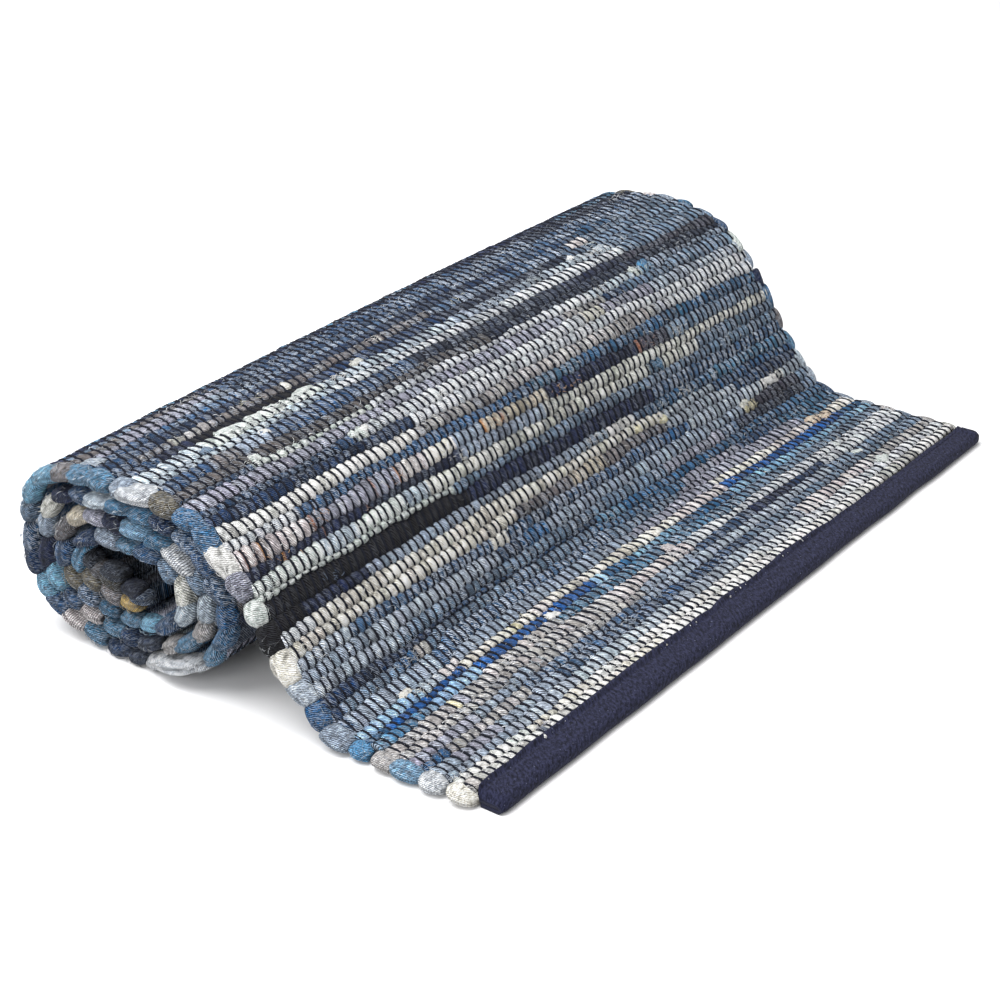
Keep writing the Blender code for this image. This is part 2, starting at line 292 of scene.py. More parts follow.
def washed_rag_cloth():
    """Washed cotton rags, mostly indigo twill: each rag's own colour, cloudy from wear
    every 12 mm, with twill threads, flecks drawn out along them, and pale cut fibres
    where the rag is worn; an unworn rag shows them less. Jeans thread is 0.5 mm apart,
    too fine to show here, so it is drawn at 1.5 mm, as are shirting's pinstripes."""
    material, tree, shader = cloth_material("washed_indigo_rag_twill", 0.95, 0.04)
    tone = add(tree, "Attribute", attribute_name="rag_tone")
    striped = add(tree, "Attribute", attribute_name="pinstripe")
    thread = add(tree, "UVMap", uv_map="threads")
    along_twill = add(tree, "Mapping", [("Vector", thread, "UV")],
                      vector_type="TEXTURE", rotation=(0.0, 0.0, math.radians(-45.0)),
                      scale=(2.0, 0.9, 1.0))
    cloudy = add(tree, "TexNoise", [("Vector", thread, "UV")], scale=1 / CLOUD_SIZE, detail=2.0)
    cloud = add(tree, "MapRange", [("Value", cloudy, "Fac")],
                from_min=0.3, from_max=0.7, to_min=0.80, to_max=1.25)
    twill = add(tree, "TexWave", [("Vector", thread, "UV")],
                bands_direction="DIAGONAL", scale=BAND_DIAGONAL / TWILL_PITCH, distortion=1.6,
                detail=2.0, detail_scale=2.0)
    lines = add(tree, "MapRange", [("Value", twill, "Fac")], to_min=0.30, to_max=1.70)
    grain = add(tree, "TexNoise", [("Vector", along_twill, "Vector")],
                scale=1 / TWILL_PITCH, detail=2.5, roughness=0.8)
    flecks = add(tree, "MapRange", [("Value", grain, "Fac")],
                 from_min=0.38, from_max=0.62, to_min=0.25, to_max=1.75)
    shade = add(tree, "Math", [(0, cloud, "Result"), (1, lines, "Result")], operation="MULTIPLY")
    flecked = add(tree, "Math", [(0, shade, "Value"), (1, flecks, "Result")], operation="MULTIPLY")
    contrast = add(tree, "MapRange", [("Value", tone, "Alpha")],
                   from_max=0.45, to_min=0.40, to_max=1.0)
    textured = add(tree, "Mix", [("Factor", contrast, "Result"), (3, flecked, "Value")])
    textured.inputs[2].default_value = 1.0
    stripes = add(tree, "TexWave", [("Vector", thread, "UV")],
                  bands_direction="X", scale=BAND_STRAIGHT / TWILL_PITCH, distortion=0.6)
    dark_stripe = add(tree, "MapRange", [("Value", stripes, "Fac")],
                      from_min=0.15, from_max=0.45, to_min=0.75, to_max=0.0)
    stripe = add(tree, "Math", [(0, dark_stripe, "Result"), (1, striped, "Fac")],
                 operation="MULTIPLY")
    plain = add(tree, "Math", [(1, stripe, "Value")], operation="SUBTRACT")
    plain.inputs[0].default_value = 1.0
    lined = add(tree, "Math", [(0, textured, "Result"), (1, plain, "Value")], operation="MULTIPLY")
    shaded = add(tree, "VectorMath", [(0, tone, "Color"), (3, lined, "Value")], operation="SCALE")
    fibre = add(tree, "TexNoise", [("Vector", along_twill, "Vector")],
                scale=1 / FIBRE_SIZE, detail=2.5, roughness=0.8, distortion=0.5)
    on_twill = add(tree, "Math", [(0, twill, "Fac"), (2, fibre, "Fac")], operation="MULTIPLY_ADD")
    on_twill.inputs[1].default_value = 0.16
    fibres = add(tree, "MapRange", [("Value", on_twill, "Value")], from_min=0.57, from_max=0.68)
    worn = add(tree, "Math", [(0, fibres, "Result"), (1, tone, "Alpha")], operation="MULTIPLY")
    pale = add(tree, "Mix", [("Factor", worn, "Value"), (6, shaded, "Vector")], data_type="RGBA")
    pale.inputs[7].default_value = (*linear("#C2CCDC"), 1.0)
    cloth = add(tree, "VectorMath", [(0, pale, 2)], operation="MINIMUM")
    cloth.inputs[1].default_value = (WHITEST, WHITEST, WHITEST)
    tree.links.new(cloth.outputs["Vector"], shader.inputs["Base Color"])
    height = add(tree, "Math", [(0, grain, "Fac"), (1, twill, "Fac")], operation="ADD")
    rough = add(tree, "Math", [(0, height, "Value"), (1, fibre, "Fac")], operation="ADD")
    bump = add(tree, "Bump", [("Height", rough, "Value")], strength=1.0, distance=0.0014)
    tree.links.new(bump.outputs["Normal"], shader.inputs["Normal"])
    return material


RAG_CLOTH = washed_rag_cloth()


def tube_faces(tubes, stations, section):
    """Quads of closed tubes whose points run tube by tube, ring by ring: the sides, and
    ladders of quads across both ends. Rings of three points get no ladders."""
    index = np.arange(tubes * stations * section).reshape(tubes, stations, section)
    here, there = index[:, :-1], index[:, 1:]
    sides = np.stack([here, there, np.roll(there, -1, axis=2), np.roll(here, -1, axis=2)],
                     axis=-1).reshape(-1, 4)
    rung = np.arange(section // 2 - 1)
    ladder = np.stack([rung, rung + 1, section - 2 - rung, section - 1 - rung], axis=-1)
    return np.concatenate([sides, index[:, 0][:, ladder].reshape(-1, 4),
                           index[:, -1][:, ladder[:, ::-1]].reshape(-1, 4)])


def new_piece(name, points, quads, material, tone=None, threads=None, tris=None):
    """A smooth mesh object that rides on the rug, of points and faces, with each point's
    rag tone and thread coordinates in metres where they are given."""
    points = np.asarray(points, float).reshape(-1, 3)
    tris = np.zeros((0, 3), int) if tris is None else tris
    corners = np.concatenate([quads.ravel(), tris.ravel()]).astype(np.int32)
    sizes = np.repeat([4, 3], [len(quads), len(tris)])
    mesh = bpy.data.meshes.new(name)
    mesh.vertices.add(len(points))
    mesh.vertices.foreach_set("co", points.ravel())
    mesh.loops.add(len(corners))
    mesh.loops.foreach_set("vertex_index", corners)
    mesh.polygons.add(len(sizes))
    mesh.polygons.foreach_set("loop_start", (np.cumsum(sizes) - sizes).astype(np.int32))
    mesh.update(calc_edges=True)
    mesh.shade_smooth()
    if tone is not None:
        colours = np.broadcast_to(tone, (*tone.shape[:-1], 4)).reshape(-1)
        mesh.attributes.new("rag_tone", "FLOAT_COLOR", "POINT").data.foreach_set(
            "color", colours.astype(np.float32))
    if threads is not None:
        mesh.uv_layers.new(name="threads").data.foreach_set(
            "uv", threads.reshape(-1, 2)[corners].ravel())
    mesh.materials.append(material)
    piece = bpy.data.objects.new(name, mesh)
    bpy.context.scene.collection.objects.link(piece)
    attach(piece, "root")
    return piece


# ==== The weft rows ===========================================================
# Each row is one folded rag, beaten hard against the last. It bulges between the black
# warp ends that cross over it and is pinched under them, where its neighbours bulge.
# 72 rows show, from the tape to under the roll.
SHOWN_ROWS = 72
FIRST_ROW = 0.0154          # s where the rows come out from under the tape
ROW_PITCH = 0.0086
WARP_ENDS = 176
WARP_FIRST = 0.0029         # x of the first warp end
WARP_PITCH = 0.00335
WARP_MARGIN = 0.0012        # no warp end lies nearer to a side than this
VALLEY = 0.0018             # n of the bottom of the gap between two rows
CREST = 0.0056              # n of a bulge's top
ROW_SUNK = 0.0008           # a row's underside lies this far below the gap
PINCH = 0.0012              # a warp end presses the row this much
STATION_SHARES = (0.0, 0.18, 0.5, 0.82)     # points between two crossings
STATION_PINCH = (1.0, 0.42, 0.0, 0.42)
ROW_BULGE, ROW_WAIST = 1.26, 0.86   # how wide a bulge and a pinch are, in row pitches
ROW_ROUNDING = 0.50         # power of the sine that a row's section follows
OVER_DEG = (4, 28, 58, 90, 122, 152, 176)   # section points over the row
PLUMP = (  # row, x from and to in mm, extra height in mm where a rag bunches up
    (6, 180, 592, 0.3), (9, 60, 300, 0.4), (10, 45, 70, 0.8), (15, 495, 510, 0.9),
    (16, 540, 560, 0.8), (17, 0, 230, 0.3), (18, 0, 410, 0.4), (20, 0, 592, -0.7),
    (22, 0, 290, 0.3), (23, 30, 200, -0.6), (24, 0, 170, 0.3), (24, 310, 470, -0.4),
    (26, 0, 480, 0.3), (30, 70, 430, -0.2), (34, 60, 200, 0.8), (34, 300, 480, 0.5),
    (33, 60, 200, 0.4), (35, 0, 300, -0.6), (1, 0, 300, 0.2), (0, 0, 592, 0.2),
)
DRIFTS = (  # rows from and to, x of the middle and half the spread, and shift, in mm
    (5, 14, 190, 110, 3.6), (17, 19, 380, 60, 1.6), (23, 25, 440, 60, -1.8),
    (26, 28, 230, 60, -2.0), (28, 31, 100, 50, -2.6), (31, 33, 480, 60, 1.8),
    (33, 35, 130, 60, 1.6), (2, 4, 490, 60, 1.8), (11, 13, 430, 40, 1.6),
    (9, 12, 20, 60, -3.0), (8, 11, 340, 60, 1.8), (9, 12, 500, 90, -2.4),
)
DRIFT_X_BELL, DRIFT_ROW_BELL = 1.2, 1.8     # how wide their bells are, and how narrow
EDGE_SHIFTS = {  # x from and to: each edge's shift there, in mm, where a rag is thick or thin
    (-50, 190): {21: 3.2},
    (190, 650): {21: 1.2},
    (-50, 205): {24: -1.6},
    (-50, 180): {26: -1.5, 31: -5.6, 33: -1.6, 34: -3.4, 35: -1.6},
    (-50, 400): {19: 1.3},
    (-50, 140): {29: -2.2},
    (70, 650): {30: -1.6},
    (-50, 650): {31: -1.3},
    (-50, 300): {34: -1.8},
    (170, 650): {6: -0.9},
    (0, 400): {18: 0.8},
    (300, 480): {33: -1.2},
    (300, 400): {11: 1.6},
    (190, 400): {7: -1.0},
    (60, 300): {15: -0.8},
    (60, 400): {2: -0.6},
    (100, 300): {11: 2.4, 12: 3.4, 13: 4.0},
    (-50, 100): {9: -0.8, 10: -3.2},
    (-50, 110): {2: -2.2, 3: -4.0, 4: -3.8, 5: -3.6, 6: -4.4, 7: -4.2, 8: -3.0, 9: -1.6,
                 10: -2.0, 11: -3.5},
    (170, 250): {5: -2.6, 6: -5.0},
    (236, 320): {6: -2.4},
    (500, 650): {30: 3.0},
    (166, 500): {31: -3.4, 34: -4.6, 35: -4.9},
    (486, 650): {31: -1.0, 34: -1.4},
    (-50, 420): {32: -6.9},
    (406, 650): {32: -4.8},
    (166, 650): {33: -3.3},
    (300, 500): {36: -3.6},
}
EDGE_STEP = 14.0            # mm over which such a shift comes in
EDGE_SPACING, RIPPLE_SPACING = 0.042, 0.0105    # of the random waves below, in x
CREST_SPACING, SHADE_SPACING = 0.020, 0.012
WANDER_SPACING = 0.032      # and of the warp ends', in s
weave_draw = np.random.default_rng(5)
EDGE_WAVES = weave_draw.normal(0.0, 0.00085, (SHOWN_ROWS + 1, 16))
EDGE_WAVES += weave_draw.normal(0.0, 0.00055, (SHOWN_ROWS + 1, 1))
EDGE_WAVES[0] = 0.0
EDGE_RIPPLES = weave_draw.normal(0.0, 0.00036, (SHOWN_ROWS + 1, 60))
CREST_WAVES = weave_draw.normal(0.0, 0.00022, (SHOWN_ROWS, 31))
CREST_WAVES += weave_draw.normal(0.0, 0.00015, (SHOWN_ROWS, 1))
WARP_WAVES = weave_draw.normal(0.0, 0.00030, (WARP_ENDS + 4, 25))
CROSSING_JITTER = weave_draw.normal(0.0, 0.00042, (WARP_ENDS + 4, SHOWN_ROWS))
ROW_LEAN = weave_draw.normal(0.0, 0.00055, SHOWN_ROWS)
SHADE_WAVES = weave_draw.normal(0.0, 0.14, (SHOWN_ROWS, 50))
SHADE_WAVES += np.repeat(weave_draw.normal(0.0, 0.12, (SHOWN_ROWS, 10)), 5, axis=1)
BULGE_JITTER = 0.00030      # a bulge's height and place differ by about this
POINT_JITTER_N, POINT_JITTER_S = 0.00016, 0.00010   # and every point's
SHADE_JITTER, HUE_JITTER = 0.15, 0.014      # how much a bulge's colour differs
MOTTLE = 0.30               # and a rag's from one point to the next
WIDTH_JITTER, LEAN_JITTER = 0.03, 0.07      # how much a bulge's width and its lean do
WORN_JITTER = 0.5           # and how worn it is
PAINTED_GAP_SHADE = 0.7                 # painted shade: how much darker it is drawn down between two rows
PAINTED_PINCH_SHADE = 0.4           # painted shade: and how much darker under a warp end
THREADS_ROUND = 0.012       # width of rag that shows round a row
THREADS_APART = 0.037       # and how far apart two rows' threads are cut from their cloth


def wave_value(waves, which, along, spacing):
    """Smooth random wave number `which` at `along`: its values stand `spacing` apart and
    are joined by an even S."""
    place = np.clip(along / spacing, 0.0, waves.shape[1] - 1.001)
    step = place.astype(int)
    blend = smoothstep(place - step)
    return waves[which, step] * (1 - blend) + waves[which, step + 1] * blend


def row_edge(row, x):
    """s of the lower edge of a row at x: even rows that wander by a millimetre, plus the
    charted drifts, each a bell of x times a bell of the row number, and the shifts."""
    edge = (FIRST_ROW + ROW_PITCH * row + wave_value(EDGE_WAVES, row, x, EDGE_SPACING)
            + wave_value(EDGE_RIPPLES, row, x, RIPPLE_SPACING) * (row > 0))
    x_mm = x * 1000.0
    for start, end, middle, spread, shift in DRIFTS:
        over_x = np.exp(-((x_mm - middle) / spread) ** 2 / DRIFT_X_BELL)
        over_rows = np.exp(-((row - (start + end) / 2) / (end - start) * DRIFT_ROW_BELL) ** 2)
        edge = edge + shift / 1000.0 * over_x * over_rows
    for (start, end), shifts in EDGE_SHIFTS.items():
        inside = smoothstep((x_mm - start) / EDGE_STEP) * smoothstep((end - x_mm) / EDGE_STEP)
        for which, shift in shifts.items():
            edge = edge + (row == which) * shift / 1000.0 * inside
    return edge


def row_crest(row, x):
    """n of a row's top at x, with its uneven fullness and the bunched places."""
    crest = CREST + wave_value(CREST_WAVES, row, x, CREST_SPACING)
    for plump_row, start, end, extra in PLUMP:
        inside = (row == plump_row) & (x > start / 1000.0) & (x < end / 1000.0)
        crest = crest + np.where(inside, extra / 1000.0, 0.0)
    return crest


def crossing_x(end, row):
    """x where a warp end crosses a row: evenly spaced ends that wander by a third of a
    millimetre along the cloth, and by a little more from crossing to crossing."""
    wander = wave_value(WARP_WAVES, end + 2, ROW_PITCH * (row + 0.5), WANDER_SPACING)
    x = WARP_FIRST + WARP_PITCH * end + wander + CROSSING_JITTER[end + 2, row]
    return np.clip(x, WARP_MARGIN, WIDTH - WARP_MARGIN)


def weft_rows(name, first, count):
    """Closed tubes of `count` rows: along x, stations between neighbouring crossings;
    round the row, the root of sin over the top and one point underneath. A bulge's
    shade is its rag's, changed by a wave along the row and by chance."""
    row = np.arange(first, first + count)[:, None]
    crossing = (row % 2) - 2 + 2 * np.arange(WARP_ENDS // 2 + 2)[None, :]
    at_crossing = crossing_x(crossing, row)
    bulges = at_crossing.shape[1] - 1
    share = np.array(STATION_SHARES)
    x = at_crossing[:, :-1, None] + np.diff(at_crossing)[..., None] * share
    x = np.concatenate([x.reshape(count, -1), at_crossing[:, -1:]], axis=1)
    pinch = np.append(np.tile(STATION_PINCH, bulges), 1.0)
    free = 1.0 - pinch
    low, high = row_edge(row, x), row_edge(row + 1, x)
    rough = np.random.default_rng(100 + first)
    by_bulge = rough.normal(0.0, 1.0, (7, count, bulges + 1)).clip(-2.2, 2.2)
    fat, lean, shift, shade, red, green, blue = (
        np.repeat(by_bulge, len(share), axis=2)[..., :x.shape[1]])
    crest = row_crest(row, x) - PINCH * pinch + BULGE_JITTER * fat * free
    middle = (low + high) / 2 + BULGE_JITTER * shift * free
    half = (high - low) / 2 * (ROW_WAIST + (ROW_BULGE - ROW_WAIST + WIDTH_JITTER * fat) * free)
    over = np.radians(OVER_DEG)
    rounded = np.sin(over) ** ROW_ROUNDING
    rise = rounded * (1.0 + LEAN_JITTER * np.cos(over) * lean[..., None] * free[:, None])
    s = middle[..., None] - half[..., None] * np.cos(over)
    n = VALLEY + (crest[..., None] - VALLEY) * rise
    s = np.concatenate([s, middle[..., None]], axis=2)
    n = np.concatenate([n, np.full((*x.shape, 1), VALLEY - ROW_SUNK)], axis=2)
    n = n + rough.normal(0.0, POINT_JITTER_N, n.shape)
    s = s + rough.normal(0.0, POINT_JITTER_S, s.shape)
    slant = np.append(ROW_LEAN[row][..., None] * -np.cos(over), np.zeros((count, 1, 1)), axis=2)
    x_ring = x[..., None] + slant
    tone = rag_tone(row, x).copy()
    strength = 1.0 + SHADE_JITTER * shade + wave_value(SHADE_WAVES, row, x, SHADE_SPACING)
    hue = 1.0 + HUE_JITTER * np.stack([red, green, blue], axis=-1)
    tone[..., :3] *= np.clip(strength, 0.5, 1.5)[..., None] * hue
    tone[..., 3] *= np.clip(1.0 + WORN_JITTER * lean, 0.2, 2.0)
    tone = np.broadcast_to(tone[:, :, None, :], (*s.shape, 4)).copy()
    # painted shade: darker down towards the gap between two rows and under a warp end
    depth = 1.0 - np.append(rounded, 0.0)[:, None]
    painted_shade = (1.0 - PAINTED_GAP_SHADE * depth) * (1.0 - PAINTED_PINCH_SHADE * pinch[:, None, None])
    mottle = 1.0 + MOTTLE * rough.normal(0, 1, (*s.shape, 1)).clip(-2, 2)
    tone[..., :3] *= painted_shade * mottle
    round_row = np.linspace(0.0, THREADS_ROUND, s.shape[2])
    threads = np.stack([x_ring, row[..., None] * THREADS_APART + round_row + 0 * s], axis=-1)
    return new_piece(name, on_cloth(x_ring, s, n), tube_faces(*s.shape), RAG_CLOTH,
                     tone, threads)


weft_pieces = [weft_rows("weft_rows_flat_end", 0, 24), weft_rows("weft_rows_climb", 24, 24),
               weft_rows("weft_rows_roll_back", 48, 24)]

# ==== The warp ================================================================
# Black cotton yarn, 2.2 mm wide where it is pulled flat, 176 ends across the width. Each
# end goes over one row and under the next, and its neighbours go the other way.
YARN_HALF = 0.00112
YARN_CROWN = 0.0016         # the yarn's top above the row that it presses down
YARN_FLANK = 0.0001         # and its two sides
YARN_SUNK = 0.0010          # how far below the gap it goes under a row
YARN_OVER_DEG = (16, 60, 120, 164)
YARN_FIBRE = 0.0012


def black_cotton_yarn():
    """Black carded cotton: nearly black, a little greyer where fibres stand off it."""
    material, tree, shader = cloth_material("black_cotton_warp_yarn", 1.0, 0.0)
    place = add(tree, "TexCoord")
    fibre = add(tree, "TexNoise", [("Vector", place, "Object")], scale=1 / YARN_FIBRE, detail=2.0)
    colour = add(tree, "Mix", [("Factor", fibre, "Fac")], data_type="RGBA")
    colour.inputs[6].default_value = (*linear("#08090E"), 1.0)
    colour.inputs[7].default_value = (*linear("#20222B"), 1.0)
    tree.links.new(colour.outputs[2], shader.inputs["Base Color"])
    return material


def warp_ends(name, first, count, material):
    """Three-sided tubes of `count` neighbouring ends: four points over each second row,
    on the row's pinched top, and one under the row between."""
    end = np.arange(first, first + count)[:, None]
    row = (end % 2) + 2 * np.arange(SHOWN_ROWS // 2)[None, :]
    x = crossing_x(end, row)
    low, high = row_edge(row, x), row_edge(row + 1, x)
    over = np.radians(YARN_OVER_DEG)
    s = (low + high)[..., None] / 2 - (high - low)[..., None] / 2 * np.cos(over)
    x_over = x[..., None] - ROW_LEAN[row][..., None] * np.cos(over)
    top = row_crest(row, x)[..., None] - PINCH
    n = VALLEY + (top - VALLEY) * np.sin(over) ** ROW_ROUNDING
    s = np.concatenate([s, (high + ROW_PITCH / 2)[..., None]], axis=2).reshape(count, -1)
    n = np.concatenate([n, np.full((*x.shape, 1), VALLEY - YARN_SUNK)], axis=2).reshape(count, -1)
    x = np.concatenate([x_over, x[..., None]], axis=2).reshape(count, -1)
    ring_x = np.array([YARN_HALF, 0.0, -YARN_HALF])
    ring_n = np.array([YARN_FLANK, YARN_CROWN, YARN_FLANK])
    points = on_cloth(x[..., None] + ring_x, s[..., None], n[..., None] + ring_n)
    rings = np.arange(points[..., 0].size).reshape(points.shape[:3])
    caps = np.concatenate([rings[:, 0], rings[:, -1][:, ::-1]])
    return new_piece(name, points, tube_faces(*points.shape[:3]), material,
                     tris=caps)


YARN = black_cotton_yarn()
warp_pieces = [warp_ends("warp_near_half", 0, WARP_ENDS // 2, YARN),
               warp_ends("warp_far_half", WARP_ENDS // 2, WARP_ENDS // 2, YARN)]

# ==== The body of the cloth ===================================================
# Under the rows that show, and through all the inner turns, the cloth is one closed
# sheet. Both its faces have the ribs of its 172 rows, but for the outer one under the
# rows that show. It stands for the weave where only its edge and its back can be seen.
RIB_DEPTH = 0.0013
RIB_INSET = 0.0002          # the ribs' tops lie this far inside the cloth's thickness
VALLEY_INSET = 0.0003       # and under the modelled rows this far below their gaps
HEM_HALF = 0.0025           # half the thickness of the hem, which is pressed for the tape
HEM_INSET = 0.010           # the tape's ends are folded shut beyond the hem
HEM_STEP = 0.0003           # from the hem to the first rib
BODY_MARGIN = 0.003         # its sides end this far inside the loops' roots
BODY_LINES = 25             # section lines across the width
RIB_SHARES = (0.0, 0.25, 0.5, 0.75)
CORE_ROWS = 150             # past this row its colour is darkened as painted shade in the roll's heart
HEM_SHADE, GAP_SHADE, CORE_SHADE, TURN_SHADE = 0.1, 0.2, 0.3, 0.75   # painted shade: share of rags' colour kept under the tape, in the gaps, in the heart and in the inner turns


def cloth_body():
    """One closed tube of rings that go along the outer face and back along the inner
    one. A face's n is half the thickness less a rib that follows sin along the row;
    under the modelled rows the outer face lies in their gaps."""
    row = np.arange(ROWS)[:, None] + np.array(RIB_SHARES)
    along = np.concatenate([[0.0, FIRST_ROW],
                            (FIRST_ROW + HEM_STEP + ROW_PITCH * row).ravel()])
    rib = np.concatenate([[0.0, 0.0], (RIB_DEPTH * (1 - np.sin(math.pi * (row % 1)))).ravel()])
    row_number = np.concatenate([[0, 0], np.repeat(np.arange(ROWS), len(RIB_SHARES))])
    under_rows = row_number < SHOWN_ROWS
    inner = THICKNESS / 2 - RIB_INSET - rib
    outer = np.where(under_rows, VALLEY - VALLEY_INSET, inner)
    outer[:2] = inner[:2] = HEM_HALF
    x = np.linspace(BODY_MARGIN, WIDTH - BODY_MARGIN, BODY_LINES)[:, None]
    s = np.concatenate([along, along[::-1]])[None, :]
    n = np.concatenate([outer, -inner[::-1]])[None, :]
    row_number = np.concatenate([row_number, row_number[::-1]])[None, :]
    tone = rag_tone(row_number, x).copy()
    # painted shade: the body's colour is darkened in the rows' gaps, in the inner turns, in the
    # roll's heart and under the tape
    shade = np.concatenate([np.where(under_rows, GAP_SHADE, TURN_SHADE),
                            np.full(len(inner), TURN_SHADE)])
    shade = np.where(row_number > CORE_ROWS, CORE_SHADE, shade) * np.where(
        s < FIRST_ROW, HEM_SHADE, 1.0)
    tone[..., :3] *= shade[..., None]
    x = np.where(s < FIRST_ROW + 2 * HEM_STEP, np.clip(x, HEM_INSET, WIDTH - HEM_INSET), x)
    threads = np.stack([x, s + 0 * x], axis=-1)
    points = on_cloth(x, s, n)
    return new_piece("cloth_body", points, tube_faces(1, *points.shape[:2]), RAG_CLOTH,
                     tone, threads)


body = cloth_body()

# ==== The turning loops at the two sides ======================================
# Where a rag turns back into the next row it makes a plump knuckle outside the last warp
# end, 20 mm long, creased lengthwise and often worn pale. There are 86 at each side, and
# in the roll they lie turn on turn like the strands of a rope mat.
LOOPS = ROWS // 2
LOOP_REACH = 0.0094
LOOP_ROOT = 0.0062          # how far a loop reaches back in between the rows
LOOP_HALF_LENGTH = 0.0094
LOOP_HALF_THICKNESS = 0.0057
LOOP_BLUNTNESS = 0.50       # power of the cos that its two ends follow
LOOP_ROUNDNESS = 0.9        # power of the sin and cos round it, below 1 a little square
LOOP_RINGS, LOOP_POINTS = 17, 24
LOOP_RIPPLE = 0.04          # its skin ripples by this share of the radius
LOOP_VARIES = {"bluntness": 0.20, "reach": 0.12, "length": 0.14, "thickness": 0.10,
               "groove": 0.40, "shade": 0.10}   # by chance, mostly as shares
LOOP_STAND, STAND_VARIES = 0.06, 0.16   # how much further out it stands, for each metre of s
LOOP_LEAN = 0.20            # and how far it may lean up or down
LOOP_PLACE = 0.0010         # it lies off its place along s by about this
GROOVE_WIND, WIND_VARIES = 0.35, 0.5    # how far a groove winds round, for each step along
GROOVE_SHARE, LIT_RUN = 0.82, 0.16      # share of the radius at a groove's foot, and up to lit
GROOVE_SHADE, LIT_SHADE = 0.50, 0.52    # painted shade: share of the colour in there, and more where lit
GROOVE_WORN, LIT_WORN = 0.4, 0.4        # and the same of its worn threads
END_SHADE, MIDDLE_SHADE = 0.45, 0.60    # painted shade: share of the colour at its ends, where it goes in between the rows, and more between
# angle and spread in radians, and depth as a share of the radius
LOOP_GROOVES = ((0.3, 0.26, 0.12), (1.5, 0.24, 0.09), (-0.9, 0.24, 0.08))
# rags of the near side from the tape, over the roll and round to its core
NEAR_LOOPS = """
    cream chalk faded stone bright silver denim pale cream black mint lilac white bluegrey
    bluegrey olive chalk silver steel steel taupe aqua aqua grey melange deep aqua slate pink
    steel deep char chalk chalk chalk steel bluegrey denim melange slate melange deep teal teal
    ice slate navy bone silver navy aqua slate pink steel deep char stone steel stone ice grey
    chalk teal faded navy lilac sand taupe slate olive melange teal steel aqua slate ice bone
    grey denim steel silver deep steel olive taupe mustard
    """.split()
FIRST_LOOP_ROW = 0.75       # the first lies closer to the tape, the others between two rows
HEART_LOOPS = [  # row, n in mm and rag of six more, which crowd the hollow from its floor
    (165, -9, "char"), (167, -10, "taupe"), (169, -9, "olive"), (171, -9, "navy"),
    (172, -5, "slate"), (169, -16, "char")]
HEART_SHADE = 0.45          # painted shade: share of their rags' colour that shows in the hollow
NEAR_STRETCH = {  # loop: times the usual length, where a rag is wide or turns slackly
    0: 0.85, 4: 0.7, 8: 1.25, 12: 1.25, 13: 1.3, 16: 1.4, 22: 1.25, 33: 2.3, 44: 1.4, 57: 1.25,
    61: 1.45, 63: 1.3,
}
FLAT_ROWS, FLAT_LOOP = 10, 0.86     # loops that lie on the floor are pressed this thin
FAR_LOOPS = """
    bone stone silver stone pale silver slate pale ice steel taupe bluegrey navy silver mint
    slate grey teal silver pink olive teal denim grey pale lilac
    """.split()
FAR_FLATNESS = 0.65         # the far side's loops are pulled in to this much of the reach
PINSTRIPED = (11, 28, 37, 52, 61)   # near loops of shirting
HATCH = 0.35                # share of such stripes in the other loops, for their twill
LOOP_THREADS_APART = 0.0105     # how far apart the threads of two rows' loops start
LOOP_THREADS_ROUND = 0.006      # and the width of rag in one radian round a loop


